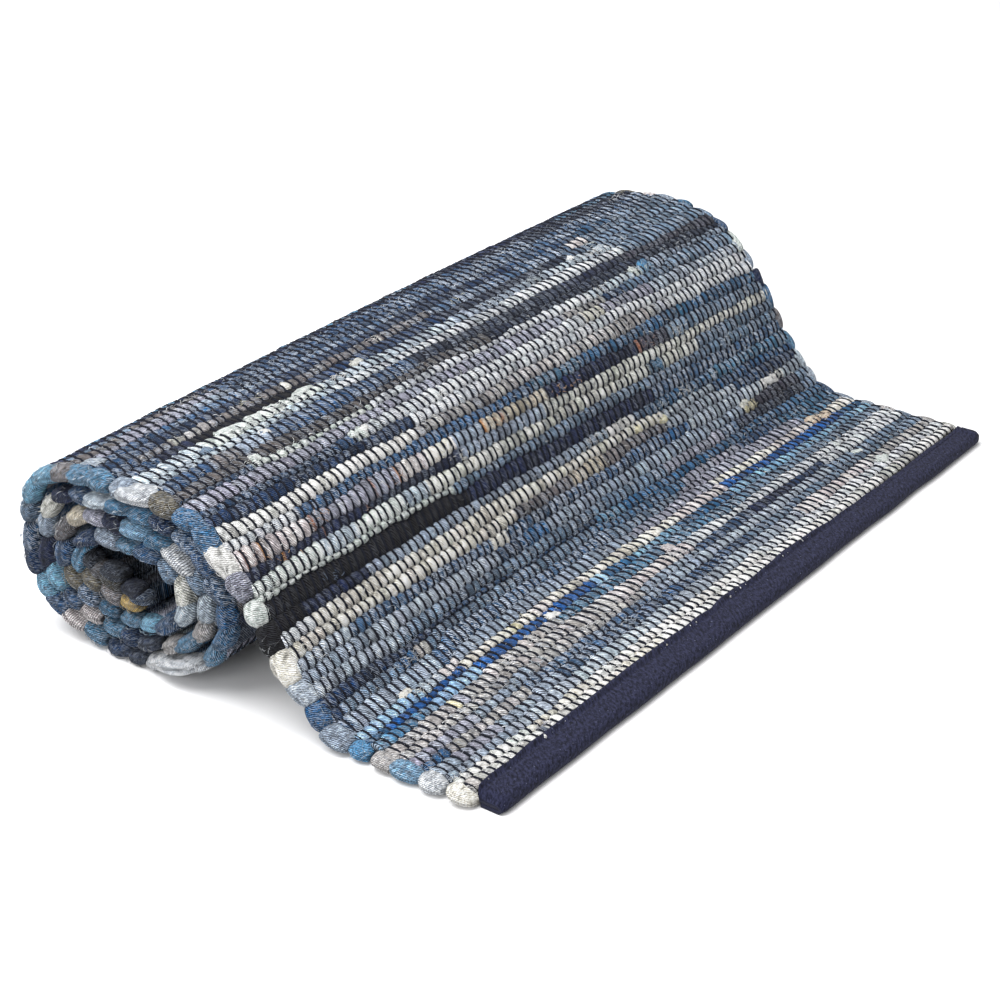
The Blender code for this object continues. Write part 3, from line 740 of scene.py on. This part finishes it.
def turning_loops(name, loops, stretch, outward, seed):
    """Closed knuckles, each given by its row, n and rag. Along s the radius is cos to a
    low power, so that they meet bluntly; across, it is an oval of reach by thickness,
    less three grooves, each a bell of the angle that winds along the loop, where the
    folded rag's layers meet. The whole knuckle leans by chance. Grooves get painted shade."""
    draw = np.random.default_rng(seed)
    count = len(loops)
    row, at_n = (np.array([loop[k] for loop in loops], float) for k in (0, 1))
    tone = tones_of(loop[2] for loop in loops)[:, None, None, :]
    size, turn, lean, phase, swell, point, twist = draw.uniform(-1, 1, (7, count, 1, 1))
    round_loop = np.radians(np.linspace(0.0, 360.0, LOOP_POINTS, endpoint=False))
    round_loop = round_loop[None, None, ::-outward]
    length = np.radians(np.linspace(-85.0, 85.0, LOOP_RINGS))[None, :, None]
    ripple = np.sin(3.1 * length + 4 * phase) * np.cos(2 * round_loop + 3 * swell)
    crease = 1.0 + LOOP_RIPPLE * ripple
    for middle, spread, depth in LOOP_GROOVES:
        track = middle + 0.7 * phase + (GROOVE_WIND + WIND_VARIES * twist) * length
        away = np.remainder(round_loop - track + math.pi, 2 * math.pi) - math.pi
        deeper = 1.0 + LOOP_VARIES["groove"] * size
        crease = crease - depth * deeper * np.exp(-(away / spread) ** 2)
    bluntness = LOOP_BLUNTNESS + LOOP_VARIES["bluntness"] * point
    radius = np.cos(length) ** bluntness * crease
    cosine, sine = np.cos(round_loop), np.sin(round_loop)
    oval_x = np.sign(cosine) * np.abs(cosine) ** LOOP_ROUNDNESS
    oval_n = np.sign(sine) * np.abs(sine) ** LOOP_ROUNDNESS
    longer = np.array([stretch.get(k, 1.0) for k in range(count)])[:, None, None]
    reach = LOOP_REACH * (1.0 + LOOP_VARIES["reach"] * size) * (0.8 + 0.2 * longer)
    reach = reach * (FAR_FLATNESS if outward > 0 else 1.0)
    half_length = LOOP_HALF_LENGTH * (1.06 + LOOP_VARIES["length"] * swell) * longer
    s = half_length * np.sin(length) + 0 * round_loop
    out = np.where(cosine > 0, reach, LOOP_ROOT) * radius * oval_x
    out = out + (LOOP_STAND + STAND_VARIES * turn) * s
    pressed = np.where(row < FLAT_ROWS, FLAT_LOOP, 1.0)[:, None, None]
    thicker = 1.02 + LOOP_VARIES["thickness"] * phase
    n = LOOP_HALF_THICKNESS * pressed * thicker * radius * oval_n
    n = n + LOOP_LEAN * lean * s / longer + at_n[:, None, None] / 1000.0
    threads = np.stack([s + LOOP_THREADS_APART * row[:, None, None],
                        LOOP_THREADS_ROUND * round_loop + 0 * s], axis=-1)
    place = FIRST_ROW + ROW_PITCH * row + LOOP_PLACE * draw.normal(0, 1, count)
    s = s + place[:, None, None]
    x = -out if outward < 0 else WIDTH + out
    by_chance = draw.normal(0.0, 1.0, (count, 1, 1, 1)).clip(-2, 2)
    shade = 1.0 + LOOP_VARIES["shade"] * by_chance
    # painted shade: the loops that crowd the hollow are darkened
    in_heart = np.where(at_n < 0, HEART_SHADE, 1.0)[:, None, None, None]
    # painted shade: darker down in the grooves; fewer worn threads show there
    lit = ((crease[..., None] - GROOVE_SHARE) / LIT_RUN).clip(0, 1)
    # painted shade: darker towards the loop's ends, where it goes in between the rows
    painted_end_shade = END_SHADE + MIDDLE_SHADE * np.cos(length)[..., None] ** 0.6
    mottle = 1.0 + MOTTLE * draw.normal(0, 1, (*s.shape, 1)).clip(-2, 2)
    colour = (tone[..., :3] * shade * in_heart * painted_end_shade * mottle
              * (GROOVE_SHADE + LIT_SHADE * lit))
    worn = tone[..., 3:] * (GROOVE_WORN + LIT_WORN * lit)
    piece = new_piece(name, on_cloth(x, s, n), tube_faces(*s.shape), RAG_CLOTH,
                      np.concatenate([colour, worn], axis=-1), threads)
    shirting = np.isin(np.arange(count), PINSTRIPED) & (outward < 0)
    striped = np.where(shirting, 1.0, HATCH).repeat(s[0].size)
    piece.data.attributes.new("pinstripe", "FLOAT", "POINT").data.foreach_set(
        "value", striped.astype(np.float32))
    return piece


near_rows = [FIRST_LOOP_ROW, *range(3, ROWS, 2)]
near_loops = [(row, 0, rag) for row, rag in zip(near_rows, NEAR_LOOPS)] + HEART_LOOPS
back_picks = np.random.default_rng(13).integers(0, len(BACK_RAGS), LOOPS)
far_rags = FAR_LOOPS + [BACK_RAGS[pick] for pick in back_picks[len(FAR_LOOPS):]]
far_loops = [(2 * k + 1, 0, rag) for k, rag in enumerate(far_rags)]
loop_pieces = [turning_loops("turning_loops_near", near_loops, NEAR_STRETCH, -1, 11),
               turning_loops("turning_loops_far", far_loops, {}, 1, 12)]

# ==== The tape over the free end ==============================================
# Navy cotton twill tape, 1.8 mm thick, folded over the pressed end of the cloth and
# sewn through by eye, so that its inner edge wanders by two millimetres. The stitches
# sink in a shallow groove, and the tape's ends are folded shut.
TAPE_NEAR, TAPE_FAR = 0.0015, 0.596
TAPE_THICKNESS = 0.0018
TAPE_HEIGHT = 0.0097
TAPE_NOSE = 0.0048          # y of the fold's middle, and its radius along y
TAPE_TOP, TAPE_UNDER = 0.0190, 0.0175   # y of the two faces' inner edges
FACE_START = 0.001          # the faces' first points lie this far past the fold's middle
EDGE_BEVEL = 0.0003
TAPE_LINES = 149
TAPE_EDGE = (  # x and y in mm of its inner edge
    (0, 19.5), (6, 20.5), (25, 21.5), (75, 22.0), (100, 22.5), (150, 23.0), (200, 22.5),
    (233, 23.0), (246, 20.5), (262, 23.0), (280, 22.5), (291, 20.2), (302, 20.5), (335, 23.0),
    (362, 22.3), (400, 20.2), (450, 19.6), (495, 18.2), (550, 19.5), (596, 18.0))
# height and spacing of the random waves of its inner edge, its fold and its top
TAPE_WAVES = ((0.00035, 0.018), (0.00030, 0.035), (0.00020, 0.022))
TAPE_CLIMB = 0.0020         # it climbs this much where it lies on the first row
CLIMB_Y, CLIMB_RUN = 0.0182, 0.0030     # from here on, over this much of y
SEAM_Y = 0.0158
GROOVE_DEPTH, GROOVE_SPREAD = 0.0006, 0.0008
TAPE_CORNER = 0.006         # the ends are folded shut and rounded over this much
TAPE_MIDDLE = 0.0105        # y towards which they round
CORNER_ROUNDING = 0.16      # share of the way that they go there
OUTER_SHUT, INNER_SHUT = 0.40, 0.98     # how far the outside and the inside close
CORNER_SINK = 0.36          # and sink, as a share of half the height
LIP_HEIGHT, LIP_RUN = 0.0022, 0.010     # at the far end the top stands up a little
RIB_SIZE, FELT_SIZE, LINT_SIZE = 0.0018, 0.0024, 0.0016     # of the twill's patterns
STITCHES = 140
STITCH_LENGTH, STITCH_HALF, STITCH_CROWN = 0.0028, 0.00034, 0.00025
STITCH_FIRST, STITCH_LAST = 0.004, 0.010    # from the tape's ends


def navy_twill_tape():
    """Soft navy cotton twill: a diagonal rib broken into streaks, felted by washing, with
    specks of lint. The real rib is 0.6 mm, and it is drawn at 1.5 mm so that it shows."""
    material, tree, shader = cloth_material("navy_cotton_twill_tape", 1.0, 0.04)
    thread = add(tree, "UVMap", uv_map="threads")
    along_rib = add(tree, "Mapping", [("Vector", thread, "UV")],
                    vector_type="TEXTURE", rotation=(0.0, 0.0, math.radians(45.0)),
                    scale=(2.2, 0.8, 1.0))
    twill = add(tree, "TexNoise", [("Vector", along_rib, "Vector")],
                scale=1 / RIB_SIZE, detail=2.0, roughness=0.8)
    felt = add(tree, "TexNoise", [("Vector", thread, "UV")],
               scale=1 / FELT_SIZE, detail=4.0, roughness=0.8)
    mixed = add(tree, "Math", [(0, twill, "Fac"), (1, felt, "Fac")], operation="MULTIPLY")
    tone = add(tree, "MapRange", [("Value", mixed, "Value")], from_min=0.17, from_max=0.33)
    colour = add(tree, "Mix", [("Factor", tone, "Result")], data_type="RGBA")
    colour.inputs[6].default_value = (*linear("#0A0B17"), 1.0)
    colour.inputs[7].default_value = (*linear("#25273C"), 1.0)
    speck = add(tree, "TexNoise", [("Vector", thread, "UV")], scale=1 / LINT_SIZE, detail=1.0)
    lint = add(tree, "MapRange", [("Value", speck, "Fac")],
               from_min=0.71, from_max=0.78, to_max=0.7)
    dusted = add(tree, "Mix", [("Factor", lint, "Result"), (6, colour, 2)], data_type="RGBA")
    dusted.inputs[7].default_value = (*linear("#5C6076"), 1.0)
    tree.links.new(dusted.outputs[2], shader.inputs["Base Color"])
    bump = add(tree, "Bump", [("Height", mixed, "Value")], strength=0.8, distance=0.0005)
    tree.links.new(bump.outputs["Normal"], shader.inputs["Normal"])
    return material


NAVY_TAPE = navy_twill_tape()


def end_tape():
    """A U-shaped profile carried along x: under face, half circle of the fold, top face,
    and the same way back inside it. The top's inner edge waves, the seam's groove is a
    narrow bell, and both ends close in along a quarter circle."""
    draw = np.random.default_rng(21)
    turn = np.radians(np.linspace(-90.0, -270.0, 13))
    middle = TAPE_HEIGHT / 2

    def layer(inset):
        """One face of the U at this depth in the tape, from the under edge to the top's."""
        under = np.linspace(TAPE_UNDER, TAPE_NOSE + FACE_START, 6)
        top = np.linspace(TAPE_NOSE + FACE_START, TAPE_TOP, 16)
        y = np.concatenate([under, TAPE_NOSE + (TAPE_NOSE - inset) * np.cos(turn), top])
        z = np.concatenate([0 * under + inset, middle + (middle - inset) * np.sin(turn),
                            0 * top + TAPE_HEIGHT - inset])
        return y, z

    (y_out, z_out), (y_in, z_in) = layer(0.0), layer(TAPE_THICKNESS)
    y_out[[0, -1]] -= EDGE_BEVEL
    y = np.concatenate([y_out, y_in[::-1]])[None, :]
    z = np.concatenate([z_out, z_in[::-1]])[None, :]
    x = np.linspace(TAPE_NEAR, TAPE_FAR, TAPE_LINES)[:, None]
    waves = draw.normal(0.0, 1.0, (3, 40))
    edge_wave, fold_wave, puff = (height * wave_value(waves, k, x, spacing)
                                  for k, (height, spacing) in enumerate(TAPE_WAVES))
    on_top = (z > middle) & (y > TAPE_NOSE)
    to_edge = np.clip((y - TAPE_NOSE) / (TAPE_TOP - TAPE_NOSE), 0.0, 1.0)
    groove = GROOVE_DEPTH * np.exp(-((y - SEAM_Y) / GROOVE_SPREAD) ** 2)
    edge_x, edge_y = np.array(TAPE_EDGE).T / 1000.0
    edge_wave = edge_wave + np.interp(x, edge_x, edge_y) - TAPE_TOP
    y_all = y + np.where(on_top, edge_wave * to_edge, 0.0) + fold_wave * (1.0 - to_edge)
    climb = TAPE_CLIMB * smoothstep((y_all - CLIMB_Y) / CLIMB_RUN)
    z_all = z + np.where(on_top, puff - groove + climb, 0.0)
    from_end = np.clip(np.minimum(x - TAPE_NEAR, TAPE_FAR - x) / TAPE_CORNER, 0.0, 1.0)
    rounding = 1.0 - np.sqrt(1.0 - (1.0 - from_end) ** 2)
    y_all = TAPE_MIDDLE + (y_all - TAPE_MIDDLE) * (1.0 - CORNER_ROUNDING * rounding)
    inside = np.arange(y.size)[None, :] >= y_out.size
    shut = 1.0 - (np.where(inside, INNER_SHUT, OUTER_SHUT)
                  * (1.0 - smoothstep(from_end * 1.2)) ** 1.5)
    sunk = middle * CORNER_SINK * rounding
    z_all = np.maximum(middle + (z_all - middle) * shut - sunk, LOWEST)
    lip = LIP_HEIGHT * smoothstep((x - (TAPE_FAR - LIP_RUN)) / LIP_RUN)
    z_all = z_all + np.where(z > middle, lip, 0.0)
    points = np.stack([x + 0 * y_all - MIDDLE[0], y_all - MIDDLE[1], z_all], axis=-1)
    round_tape = np.concatenate([[0.0], np.cumsum(np.hypot(np.diff(y[0]), np.diff(z[0])))])
    threads = np.stack([x + 0 * y_all, round_tape + 0 * y_all], axis=-1)
    return new_piece("end_tape", points, tube_faces(1, *y_all.shape), NAVY_TAPE,
                     threads=threads)


def tape_stitches():
    """Short thick stitches in the groove: a round section carried along x, with sin of
    the way along it as its height and, from half up to full, its thickness."""
    start = np.linspace(TAPE_NEAR + STITCH_FIRST, TAPE_FAR - STITCH_LAST, STITCHES)
    share = np.linspace(0.0, 1.0, 5)[None, :, None]
    turn = np.radians([210.0, 150.0, 90.0, 30.0, -30.0, -90.0])[None, None, :]
    rise = np.sin(math.pi * share)
    fat = STITCH_HALF * (0.5 + 0.5 * rise)
    x = start[:, None, None] + STITCH_LENGTH * share + 0 * turn
    y = SEAM_Y + fat * np.cos(turn) + 0 * x
    z = TAPE_HEIGHT - GROOVE_DEPTH + STITCH_CROWN * rise + fat * np.sin(turn) + 0 * x
    points = np.stack([x - MIDDLE[0], y - MIDDLE[1], z], axis=-1)
    threads = np.stack([x, y], axis=-1)
    return new_piece("tape_stitches", points, tube_faces(*x.shape), NAVY_TAPE,
                     threads=threads)


tape = end_tape()
stitches = tape_stitches()

# ==== Cut ends of rags ========================================================
# Where a rag ends inside a row its cut end pokes up through the warp as a soft flap,
# and a few wide rags bunch over the warp ends and hide them.
CUT_ENDS = (  # row and x in mm of its middle, rag, length and width in mm
    (8.0, 181, "white", 11, 8), (6.8, 300, "pink", 10, 11), (6.0, 510, "mint", 8, 8),
    (1.4, 509, "mint", 14, 11), (3.7, 509, "mint", 10, 6), (15.3, 500, "bone", 12, 7),
    (17.6, 408, "yellow", 10, 7), (16.0, 545, "white", 16, 7), (34.0, 87, "mint", 25, 9),
    (34.0, 107, "mint", 14, 8), (34.0, 124, "mint", 12, 8), (34.0, 152, "mint", 22, 8),
    (34.3, 207, "bone", 12, 8), (33.0, 56, "grey", 12, 8), (30.0, 69, "mint", 8, 8),
    (34.0, 440, "white", 10, 7), (33.5, 470, "ice", 12, 9), (30.0, 468, "mint", 8, 7),
    (30.2, 482, "bright", 12, 7), (31.8, 95, "white", 9, 6), (28.0, 140, "mint", 9, 6),
    (28.0, 150, "white", 8, 6), (38.5, 8, "pale", 15, 13), (10.2, 538, "peach", 14, 8),
    (9.5, 550, "peach", 10, 8), (9.0, 315, "cream", 9, 6), (22.0, 430, "teal", 10, 6),
    (18.0, 378, "yellow", 8, 6), (9.9, 52, "cream", 14, 9),
)
CUT_END_RINGS, CUT_END_POINTS = 9, 12
CRUMPLE = 0.22              # share of the radius that a point is off by, by chance
CUT_END_TOP = 0.0061        # n of its top, about as high as the warp ends
CUT_END_SUNK = 0.0012       # how far below the rows' tops its middle lies
CUT_END_SLANT = 0.16        # how much it runs askew to its row, by chance


def cut_ends():
    """Closed crumpled cushions: along x the radius is the root of cos, and round it a
    flat oval whose underside stays in the row, crumpled by chance at each point."""
    draw = np.random.default_rng(41)
    row, x, long, wide = (np.array([end[k] for end in CUT_ENDS])[:, None, None]
                          for k in (0, 1, 3, 4))
    length = np.radians(np.linspace(-80.0, 80.0, CUT_END_RINGS))[None, :, None]
    turn = np.radians(np.linspace(360.0, 0.0, CUT_END_POINTS, endpoint=False))[None, None, :]
    slant = draw.normal(0.0, CUT_END_SLANT, x.shape)
    bumps = draw.normal(0, 1, (len(CUT_ENDS), CUT_END_RINGS, CUT_END_POINTS))
    crumpled = 1.0 + CRUMPLE * bumps.clip(-2, 2)
    radius = np.sqrt(np.cos(length)) * crumpled
    along = long / 2000.0 * np.sin(length) * (1.0 + 0 * radius)
    x = x / 1000.0 + along
    s = (FIRST_ROW + ROW_PITCH * (row + 0.5) + slant * along
         + wide / 2000.0 * radius * np.cos(turn))
    middle = CREST - CUT_END_SUNK
    rise = np.where(np.sin(turn) > 0, CUT_END_TOP - middle, CUT_END_SUNK)
    n = middle + rise * radius * np.sin(turn)
    tone = tones_of(end[2] for end in CUT_ENDS)[:, None, None, :]
    tone = np.broadcast_to(tone, (*s.shape, 4)).copy()
    # painted shade and light: darker where a crumple dips in and towards the ends, lighter where
    # it bulges out
    tone[..., :3] *= np.clip(0.85 + 1.2 * (radius - 0.75), 0.6, 1.1)[..., None]
    threads = np.stack([x, s + 0 * x], axis=-1)
    return new_piece("cut_ends", on_cloth(x, s, n), tube_faces(*s.shape), RAG_CLOTH,
                     tone, threads)


cut_ends_piece = cut_ends()

# ==== Loose threads ===========================================================
# Cut edges of the rags shed threads, most of them pale weft of jeans cloth. They stand
# off the rows by a millimetre or so, and bunch where a rag ends inside a row.
TUFTS = (  # row, x in mm, rag, threads
    (0, 75, "lilac", 14), (1, 140, "mint", 12), (1, 152, "white", 12), (4, 15, "denim", 18),
    (5, 100, "ice", 16), (6, 295, "white", 14), (7, 120, "cream", 12), (7, 150, "white", 12),
    (8, 340, "lilac", 8), (8, 430, "blue", 8), (8, 535, "blue", 8), (9, 165, "yellow", 8),
    (10, 56, "cream", 24), (10, 545, "peach", 18), (12, 78, "denim", 30), (12, 75, "white", 24),
    (13, 200, "ice", 14), (14, 300, "pale", 12), (15, 503, "yellow", 22),
    (16, 203, "cream", 14), (16, 550, "white", 22), (16, 20, "white", 14),
    (18, 395, "yellow", 18), (19, 360, "white", 36), (19, 445, "white", 30),
    (20, 60, "slate", 10), (21, 520, "ice", 14), (22, 150, "denim", 14), (23, 34, "ochre", 8),
    (23, 205, "cream", 16), (24, 15, "rust", 10), (24, 75, "ochre", 10), (24, 145, "rust", 10),
    (24, 255, "ochre", 10), (26, 90, "white", 12), (28, 220, "white", 10),
    (29, 404, "taupe", 14), (30, 68, "mint", 14), (30, 476, "mint", 16), (30, 486, "sky", 8),
    (33, 120, "mint", 20), (34, 90, "mint", 30), (34, 130, "mint", 30), (34, 180, "white", 26),
    (34, 340, "pale", 26), (34, 390, "ice", 26), (34, 440, "ice", 24), (35, 470, "mint", 12),
    (36, 120, "yellow", 8), (36, 240, "pink", 8), (36, 330, "yellow", 8), (38, 140, "ice", 12),
    (39, 560, "char", 22), (40, 575, "white", 10), (41, 120, "taupe", 14),
    (41, 330, "char", 16), (41, 480, "char", 14), (24, 470, "white", 20),
    (30, 425, "white", 16), (34, 462, "white", 24), (19, 412, "ice", 24),
    (18, 432, "lilac", 14), (5, 130, "ice", 20), (5, 180, "white", 16), (28, 402, "cream", 16),
    (14, 540, "umber", 20), (15, 545, "umber", 20), (3, 200, "pale", 16), (26, 425, "pink", 10),
    (19, 330, "white", 22), (24, 320, "ochre", 10), (24, 342, "ochre", 8),
    (24, 432, "rust", 10), (17, 16, "cream", 20), (21, 12, "mint", 20), (35, 20, "denim", 14),
    (1, 6, "chalk", 16),
)
TUFT_SPREAD = 5.0           # mm to both sides of its x, by chance
THREAD_ROWS = 42            # rows that show enough for their threads to be seen
ROW_THREADS = 62            # stray threads on each of them besides the tufts
LOOP_THREADS = 9            # and on each turning loop of the near side
THREAD_POINTS = 5
THREAD_LENGTH = (0.0012, 0.0042)
THREAD_LIFT = (0.0002, 0.0016)      # how far one stands off its row
THREAD_HALF = (0.00017, 0.00034)    # half its thickness
THREAD_ROOT = 0.0003        # its root lies this far below the row's top
THREAD_WHITE = "#E6EAEE"    # undyed weft
TUFT_PALE = 0.25            # how far a tuft's colour is drawn towards it
STRAY_PALE = (0.2, 1.0)     # a stray thread's on a row
LOOP_PALE = (0.1, 0.6)      # and one's on a loop
HEADING_VARIES, BEND_VARIES = 0.7, 0.35     # radians off the row, and the bend's depth
THREAD_TAPER = 0.6          # share of its thickness that it loses up to the tip
LOOP_THREAD_START = (-0.0085, 0.0030)       # s from the loop's middle
LOOP_THREAD_LENGTH = (0.0015, 0.0045)
LOOP_THREAD_ANGLE, ANGLE_DRIFT = (-0.2, 1.7), 0.5   # radians round the loop


def row_threads(draw):
    """Paths of the threads on the rows (thread, point): each leaves its root along a
    heading, bends sideways with the square of the way, and rises with its sin."""
    tuft = np.repeat(np.arange(len(TUFTS)), [t[3] for t in TUFTS])
    tuft_row, tuft_x = (np.array([t[k] for t in TUFTS])[tuft] for k in (0, 1))
    stray_row = np.repeat(np.arange(THREAD_ROWS), ROW_THREADS)
    stray_x = draw.uniform(4.0, 588.0, len(stray_row))
    row = np.concatenate([tuft_row, stray_row])
    spread = np.where(np.arange(len(row)) < len(tuft), TUFT_SPREAD, 0.0)
    x = (np.concatenate([tuft_x, stray_x]) + spread * draw.normal(0, 1, len(row))) / 1000.0
    x = np.clip(x, 0.002, WIDTH - 0.002)
    tone = np.concatenate([tones_of(t[2] for t in TUFTS)[tuft],
                           rag_tone(stray_row, stray_x / 1000.0)])
    pale = np.where(spread > 0, TUFT_PALE, draw.uniform(*STRAY_PALE, len(row)))
    pale = pale * np.clip(tone[:, 1] / 0.08, 0.1, 1.0)
    heading = np.where(draw.random(len(row)) < 0.5, 0.0, math.pi)
    heading = heading + draw.normal(0, HEADING_VARIES, len(row))
    length = draw.uniform(*THREAD_LENGTH, len(row))[:, None]
    bend = draw.normal(0.0, BEND_VARIES, len(row))[:, None]
    lift = draw.uniform(*THREAD_LIFT, len(row))[:, None]
    up_the_row = draw.uniform(np.where(row == 0, 0.65, 0.15), 0.85)
    root_s = row_edge(row, x) + ROW_PITCH * up_the_row
    way = np.linspace(0.0, 1.0, THREAD_POINTS)[None, :]
    cosine, sine = np.cos(heading)[:, None], np.sin(heading)[:, None]
    path_x = x[:, None] + length * (way * cosine - bend * way ** 2 * sine)
    path_s = root_s[:, None] + length * (way * sine + bend * way ** 2 * cosine)
    path_n = row_crest(row, x)[:, None] - THREAD_ROOT + lift * np.sin(math.pi * way * 0.85)
    return path_x, path_s, path_n, heading, tone, pale


def loop_threads(draw):
    """Paths of the threads on the near turning loops: along s over the loop's oval, a
    little outside it, at an angle that drifts."""
    loop = np.repeat(np.arange(len(NEAR_LOOPS)), LOOP_THREADS)
    count = len(loop)
    tone = tones_of(NEAR_LOOPS)[loop]
    way = np.linspace(0.0, 1.0, THREAD_POINTS)[None, :]
    start = draw.uniform(*LOOP_THREAD_START, (count, 1))
    from_middle = start + draw.uniform(*LOOP_THREAD_LENGTH, (count, 1)) * way
    angle = draw.uniform(*LOOP_THREAD_ANGLE, (count, 1))
    angle = angle + draw.normal(0.0, ANGLE_DRIFT, (count, 1)) * way
    radius = 1.04 * np.cos(np.clip(from_middle / LOOP_HALF_LENGTH, -1.2, 1.2)) ** 0.7
    radius = radius + draw.uniform(0.0, 0.22, (count, 1)) * np.sin(math.pi * way * 0.8)
    path_x = -LOOP_REACH * radius * np.cos(angle)
    path_s = FIRST_ROW + ROW_PITCH * (2 * loop[:, None] + 1) + from_middle
    path_n = LOOP_HALF_THICKNESS * radius * np.sin(angle)
    return (path_x, path_s, path_n, np.full(count, math.pi / 2), tone,
            draw.uniform(*LOOP_PALE, count))


def loose_threads():
    """Three-sided tubes along the paths: a ring stands across its thread's heading, and
    thins to two fifths at the tip. A pale thread's colour is drawn towards white."""
    draw = np.random.default_rng(77)
    on_rows, on_loops = row_threads(draw), loop_threads(draw)
    x, s, n, heading, tone, pale = (np.concatenate(pair) for pair in zip(on_rows, on_loops))
    tone[:, :3] += (linear(THREAD_WHITE) - tone[:, :3]) * pale[:, None]
    tone[:, 3] = 0.0
    way = np.linspace(0.0, 1.0, THREAD_POINTS)[None, :, None]
    turn = np.radians([210.0, 90.0, -30.0])[None, None, :]
    thick = draw.uniform(*THREAD_HALF, len(x))[:, None, None] * (1.0 - THREAD_TAPER * way)
    cosine, sine = np.cos(heading)[:, None, None], np.sin(heading)[:, None, None]
    ring_x = x[..., None] - thick * np.cos(turn) * sine
    ring_s = s[..., None] + thick * np.cos(turn) * cosine
    ring_n = n[..., None] + thick * np.sin(turn)
    rings = np.arange(ring_x.size).reshape(ring_x.shape)
    caps = np.concatenate([rings[:, 0], rings[:, -1][:, ::-1]])
    tone = np.broadcast_to(tone[:, None, None, :], (*ring_x.shape, 4))
    threads = np.stack([ring_x, ring_s], axis=-1)
    return new_piece("loose_threads", on_cloth(ring_x, ring_s, ring_n),
                     tube_faces(*ring_x.shape), RAG_CLOTH, tone,
                     threads, tris=caps)


threads_piece = loose_threads()

# ==== What stands for the CAD model ===========================================
# The sheet of cloth was 60 by 150 cm flat, over its turning loops and tape; all else is
# woven into it or sewn on it.
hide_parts("rug_cloth")
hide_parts("end_binding")

# ==== The studio ==============================================================
# A seamless pale floor, one wide soft box overhead and a dim one at the left, with the
# photograph's camera: 26.7 degrees down, 36.8 degrees round from the rug's width.
FLOOR_HALF = 9.0
DAYLIGHT = 0.79             # strength of the white all round
LENS, SENSOR = 73.98, 36.0  # mm
CAMERA_PLACE = (-1.02717, -0.73451, 0.65190)
CAMERA_DOWN, CAMERA_ROUND = 26.71, 36.84    # degrees


def studio_floor():
    """A flat pale sweep, far larger than the view."""
    material = bpy.data.materials.new("pale_matt_studio_sweep")
    material.use_nodes = True
    shader = material.node_tree.nodes["Principled BSDF"]
    shader.inputs["Base Color"].default_value = (*linear("#D8D8D9"), 1.0)
    shader.inputs["Roughness"].default_value = 0.9
    shader.inputs["Specular IOR Level"].default_value = 0.1
    mesh = bpy.data.meshes.new("studio_floor")
    corners = [(x * FLOOR_HALF, y * FLOOR_HALF, 0)
               for x, y in ((-1, -1), (1, -1), (1, 1), (-1, 1))]
    mesh.from_pydata(corners, [], [(0, 1, 2, 3)])
    mesh.materials.append(material)
    floor = bpy.data.objects.new("studio_floor", mesh)
    bpy.context.scene.collection.objects.link(floor)


def soft_box(name, place, target, width, power):
    """A square area light at `place` that faces `target`."""
    light = bpy.data.lights.new(name, "AREA")
    light.shape = "SQUARE"
    light.size = width
    light.energy = power
    box = bpy.data.objects.new(name, light)
    box.location = place
    toward = Vector(target) - Vector(place)
    box.rotation_euler = toward.to_track_quat("-Z", "Y").to_euler()
    bpy.context.scene.collection.objects.link(box)


studio_floor()
soft_box("overhead_soft_box", (-0.6, 0.5, 2.2), (0.0, 0.0, 0.0), 2.2, 107.0)
soft_box("left_soft_box", (-2.2, -0.4, 1.0), (0.0, 0.0, 0.05), 1.2, 25.0)
world = bpy.data.worlds.new("studio_air")
world.use_nodes = True
world.node_tree.nodes["Background"].inputs["Color"].default_value = (1.0, 1.0, 1.0, 1.0)
world.node_tree.nodes["Background"].inputs["Strength"].default_value = DAYLIGHT
bpy.context.scene.world = world
bpy.context.scene.view_settings.view_transform = "Standard"

lens = bpy.data.cameras.new("photo_camera")
lens.lens, lens.sensor_width = LENS, SENSOR
camera = bpy.data.objects.new("photo_camera", lens)
camera.location = CAMERA_PLACE
camera.rotation_euler = (math.radians(90.0 - CAMERA_DOWN), 0.0,
                         math.radians(CAMERA_ROUND - 90.0))
bpy.context.scene.collection.objects.link(camera)
bpy.context.scene.camera = camera
